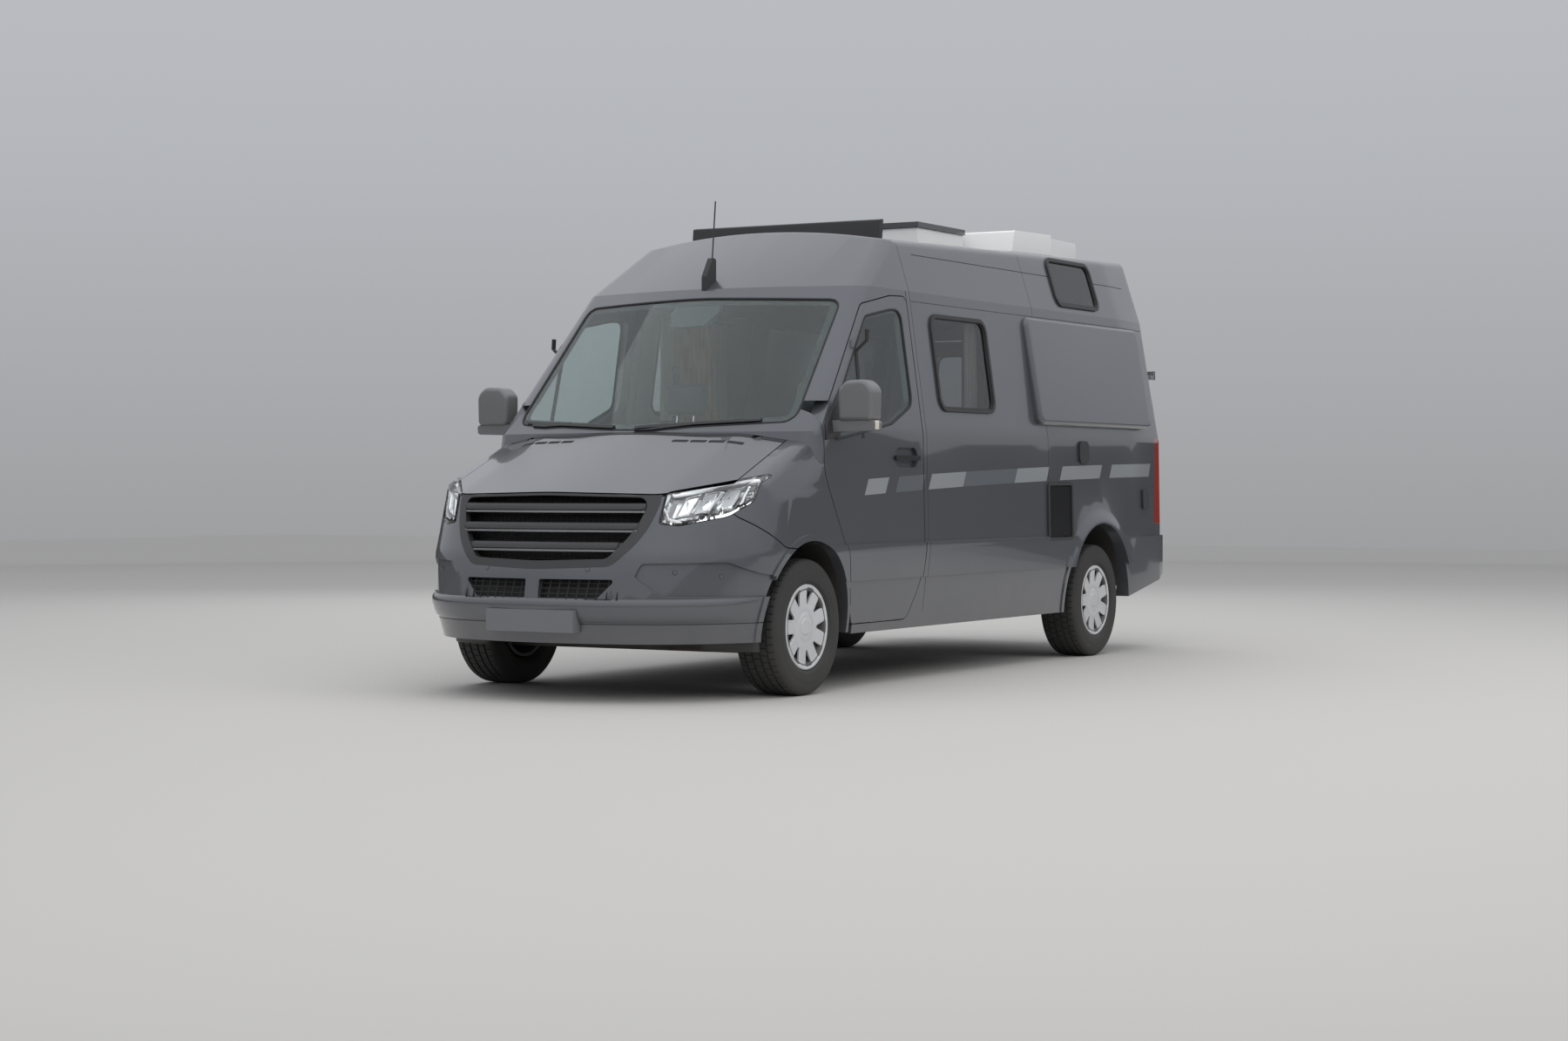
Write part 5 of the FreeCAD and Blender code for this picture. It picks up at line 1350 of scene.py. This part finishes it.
finish_piece("worktop", top_plate, worktop_look, "van", 30, 0.003)
sink = bmesh.new()
for x, y, radius in ((0.60, 0.05, 0.15), (0.60, 0.52, 0.15)):
    ring_disc(sink, Vector((x, y, 1.3005)), Vector((0, 0, 1)), radius, radius - 0.02, 0.004)
tube(sink, [(0.78, 0.05, 1.30), (0.78, 0.05, 1.46), (0.74, 0.05, 1.50), (0.66, 0.05, 1.48)],
     0.009, 12)
finish_piece("sink_and_hob", sink, chrome, "van", 40)

linen = woven("bed_linen", (0.66, 0.64, 0.60), (0.56, 0.54, 0.50), 0.92, 0.3, 1100.0, 0.0009,
              0.004, 7.0)
bed_low, bed_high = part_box("bed")
bed_middle = (bed_low[1] + bed_high[1]) / 2
BOARD_THICK = 0.045
board = outer_skin("bed", lambda n, c: True)
for vert in board.verts:
    vert.co.z = min(vert.co.z, bed_low[2] + BOARD_THICK)
bed_board = finish_piece("bed_board", board, oak, "van", 30)
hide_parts("bed")
for number, shift_y in enumerate((-0.325, 0.325)):
    pad = bmesh.new()
    rounded_block(pad, (1.60, 0.62, 0.085), (0, bed_middle + shift_y, bed_low[2] + 0.092), 0,
                  0.03, 0.006)
    mattress = swell(finish_piece(f"mattress_{number}", pad, linen, None, 60), 0.024, 3.0, 0.010)
    sewn(mattress, [(0, x * 0.2, (2, 1)) for x in range(-3, 4)], 0.008, 0.018)
    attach(mattress, "van")
for number, shift_y in enumerate((-0.28, 0.30)):
    pad = bmesh.new()
    rounded_block(pad, (0.34, 0.50, 0.11), (-0.62, bed_middle + shift_y, bed_high[2] + 0.055),
                  0, 0.05, 0.02)
    pillow = swell(finish_piece(f"pillow_{number}", pad, linen, None, 60), 0.014, 4.0, 0.016)
    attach(pillow, "van")

curtain_cloth = woven("curtain_cloth", (0.54, 0.50, 0.43), (0.44, 0.40, 0.34), 0.95, 0.2,
                      1000.0, 0.0006, 0.001, 5.0)
PLEAT_DEPTH = 0.018
PLEATS = 5
CURTAIN_HIGH = 0.60
CURTAIN_WIDE = 0.16
CURTAIN_TOP = 2.045


def curtain(name, x, y):
    """Gathered curtain: pleats across Y, hung from the rail over the window."""
    bm = bmesh.new()
    columns, rows = 80, 12
    grid = []
    for row in range(rows + 1):
        drop = row / rows
        line = []
        for column in range(columns + 1):
            share = column / columns
            depth = PLEAT_DEPTH * (0.75 + 0.35 * drop) * math.sin(math.tau * PLEATS * share)
            sway = 0.006 * math.sin(5 * share + 2 * drop)
            line.append(bm.verts.new((x + depth, y + CURTAIN_WIDE * (share - 0.5) + sway,
                                      CURTAIN_TOP - CURTAIN_HIGH * drop)))
        grid.append(line)
    stitch(bm, grid)
    area = sum(face.calc_area() for face in bm.faces)
    made = finish_piece(name, bm, curtain_cloth, "van", 180)
    return made


WINDOW_Y = (FRONT_AXLE_Y + 1.52, FRONT_AXLE_Y + 2.19)
for word, side in SIDES:
    rail_piece = bmesh.new()
    x = 0.845 * side
    tube(rail_piece, [(x, WINDOW_Y[0] - 0.12, CURTAIN_TOP), (x, WINDOW_Y[1] + 0.12, CURTAIN_TOP)],
         0.006, 10)
    for y in (WINDOW_Y[0] - 0.10, WINDOW_Y[1] + 0.10):
        tube(rail_piece, [(x, y, CURTAIN_TOP), (0.875 * side, y, CURTAIN_TOP)], 0.005, 8)
    finish_piece(f"curtain_rail_{word}", rail_piece, chrome, "van", 50)
    curtain(f"curtain_front_{word}", x, WINDOW_Y[0] + 0.04)
    curtain(f"curtain_rear_{word}", x, WINDOW_Y[1] - 0.04)

# Partition behind the cab on the right: a slim oak cupboard end, so that the
# cab opens into the living space as in the van.
upright = bmesh.new()
bar(upright, (-0.86, -0.30, 0.641), (-0.60, -0.27, 2.05))
finish_piece("partition_right", upright, oak, "van", 30, 0.002)

# Mirrors: silvered glass in the rear of each head and a clear indicator in
# the outer end of the arm.
mirror_glass, nodes, links, shader = new_finish("mirror_glass", (0.82, 0.84, 0.85), 0.03, 1.0)
silvering = use_group(mirror_glass, grain, Colour=(0.84, 0.86, 0.87, 1),
                      Tone=(0.80, 0.82, 0.83, 1), Scale=40.0, Relief=0.000004, Edge=0.0005)
links.new(silvering.outputs["Colour"], shader.inputs["Base Color"])
indicator_look = moulded("indicator", (0.62, 0.60, 0.56), (0.56, 0.52, 0.46), 0.12, 100.0,
                         0.0002, 0.001)
for word, side in SIDES:
    node = f"mirror_{word}"
    glass = outer_skin(node, lambda n, c: n.y > 0.9 and c.z > 1.40 and abs(c.x) > 1.05
                       and abs(c.y - (FRONT_AXLE_Y + 0.322)) < 0.003, 0.0015)
    finish_piece(f"mirror_glass_{word}", glass, mirror_glass, f"door_{word}_body")
    light = bmesh.new()
    rounded_block(light, (0.012, 0.034, 0.046), (1.2465 * side, FRONT_AXLE_Y + 0.249, 1.372), 0,
                  0.005)
    finish_piece(f"mirror_indicator_{word}", light, indicator_look, f"door_{word}_body", 60)

# Cab door windows: an upright bar between the fixed front pane and the one
# that winds down, and a black corner panel that carries the mirror.
for word, side in SIDES:
    pane = surface_of(f"door_{word}_pane")
    pane_low, pane_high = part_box(f"door_{word}_pane")
    divider = bmesh.new()
    foot_y, head_y = FRONT_AXLE_Y + 0.56, FRONT_AXLE_Y + 0.62
    rows = []
    for number in range(13):
        share = number / 12
        z = pane_low[2] + 0.012 + (pane_high[2] - pane_low[2] - 0.03) * share
        y = foot_y + (head_y - foot_y) * share
        spot = from_side(pane, side, y, z)
        if abs(spot.x) > 0.999 and number > 10:
            continue
        rows.append([divider.verts.new(spot + Vector((reach * side, wide, 0)))
                     for reach, wide in ((-0.008, -0.014), (0.004, -0.014), (0.004, 0.014),
                                         (-0.008, 0.014))])
    stitch(divider, rows, closed=True)
    divider.faces.new(rows[0])
    divider.faces.new(rows[-1])
    finish_piece(f"window_divider_{word}", divider, rubber, f"door_{word}_body", 40, 0.002)
    outside = surface_of(f"door_{word}", f"door_{word}_pane")
    panel = bmesh.new()
    grid = []
    for number in range(9):
        share = number / 8
        bottom = Vector((FRONT_AXLE_Y + 0.150 + 0.155 * share, 1.297 + 0.020 * share))
        top = Vector((FRONT_AXLE_Y + 0.158 + 0.205 * share, 1.372 + 0.205 * share))
        if share > 0.86:
            top = bottom.lerp(top, 0.97)
        column = []
        for step in range(5):
            place = bottom.lerp(top, step / 4)
            spot = from_side(outside, side, place.x, place.y)
            column.append(panel.verts.new(spot + Vector((0.004 * side, 0, 0))))
        grid.append(column)
    stitch(panel, grid)
    thicken(finish_piece(f"corner_panel_{word}", panel, black_plastic, f"door_{word}_body", 40),
            0.006, 0)


# Rear: red lamps with an amber band and a clear reversing band on the faces
# that look back, and a handle and a high brake lamp on the doors.
red_lens = moulded("red_lens", (0.42, 0.012, 0.010), (0.34, 0.010, 0.008), 0.12, 120.0, 0.0003,
                   0.002, Coat_Weight=0.8)
dress("tail_lamps", red_lens)
tail_low, tail_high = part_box("tail_lamps")
nodes, links = red_lens.node_tree.nodes, red_lens.node_tree.links
level = nodes.new("ShaderNodeNewGeometry")
axes = nodes.new("ShaderNodeSeparateXYZ")
share = nodes.new("ShaderNodeMapRange")
share.inputs["From Min"].default_value = tail_low[2]
share.inputs["From Max"].default_value = tail_high[2]
bands = nodes.new("ShaderNodeValToRGB")
bands.color_ramp.interpolation = "CONSTANT"
bands.color_ramp.elements[0].color = (0.30, 0.014, 0.011, 1)
bands.color_ramp.elements[1].position = 0.66
bands.color_ramp.elements[1].color = (0.30, 0.014, 0.011, 1)
for place, colour in ((0.38, (0.60, 0.58, 0.56, 1)), (0.50, (0.62, 0.20, 0.02, 1))):
    bands.color_ramp.elements.new(place).color = colour
links.new(level.outputs["Position"], axes.inputs[0])
links.new(axes.outputs["Z"], share.inputs["Value"])
links.new(share.outputs["Result"], bands.inputs["Fac"])
split_colour(red_lens, "Normal", "Y", 0.7, (0.30, 0.030, 0.022), bands.outputs["Color"])

handle_look = moulded("rear_handle", (0.05, 0.05, 0.052), (0.06, 0.06, 0.062), 0.4, 500.0,
                      0.0001, 0.002)
rear_skin = surface_of("rear_door_left", "rear_door_right")


def from_rear(tree, x, z, fallback=2.9):
    """First point of the surface met when looking along -Y at x and z."""
    hit = tree.ray_cast(Vector((x, 4, z)), Vector((0, -1, 0)))[0]
    return hit if hit else Vector((x, fallback, z))


grip = bmesh.new()
spot = from_rear(rear_skin, -0.09, 1.08)
rounded_block(grip, (0.045, 0.022, 0.20), (-0.075, spot.y + 0.010, 1.08), 0, 0.009)
rounded_block(grip, (0.055, 0.008, 0.24), (-0.075, spot.y + 0.003, 1.08), 0, 0.003)
finish_piece("rear_handle", grip, handle_look, "rear_right_body", 50)
roof_rear = surface_of("roof", "rear_frame")
brake_lamp = bmesh.new()
spot = from_rear(roof_rear, 0.0, 2.25)
rounded_block(brake_lamp, (0.34, 0.016, 0.034), (0, spot.y - 0.004, 2.25), 0, 0.006)
finish_piece("high_brake_lamp", brake_lamp, red_lens, "van", 50)

# Roof: smoked acrylic rooflight lid over its white curb, white moulded vents,
# a black air deflector and the whip aerial.
white_lacquer = moulded("white_moulding", (0.72, 0.72, 0.71), (0.66, 0.66, 0.65), 0.35, 220.0,
                        0.0002, 0.006, dusty=0.1)
dress("rooflight_frame", white_lacquer)
lid_look = moulded("lid_acrylic", (0.055, 0.057, 0.06), (0.045, 0.046, 0.05), 0.14, 100.0, 0.0001,
                   0.006, Coat_Weight=0.6)
dress("rooflight_lid", lid_look)
dress("roof_vents", white_lacquer)
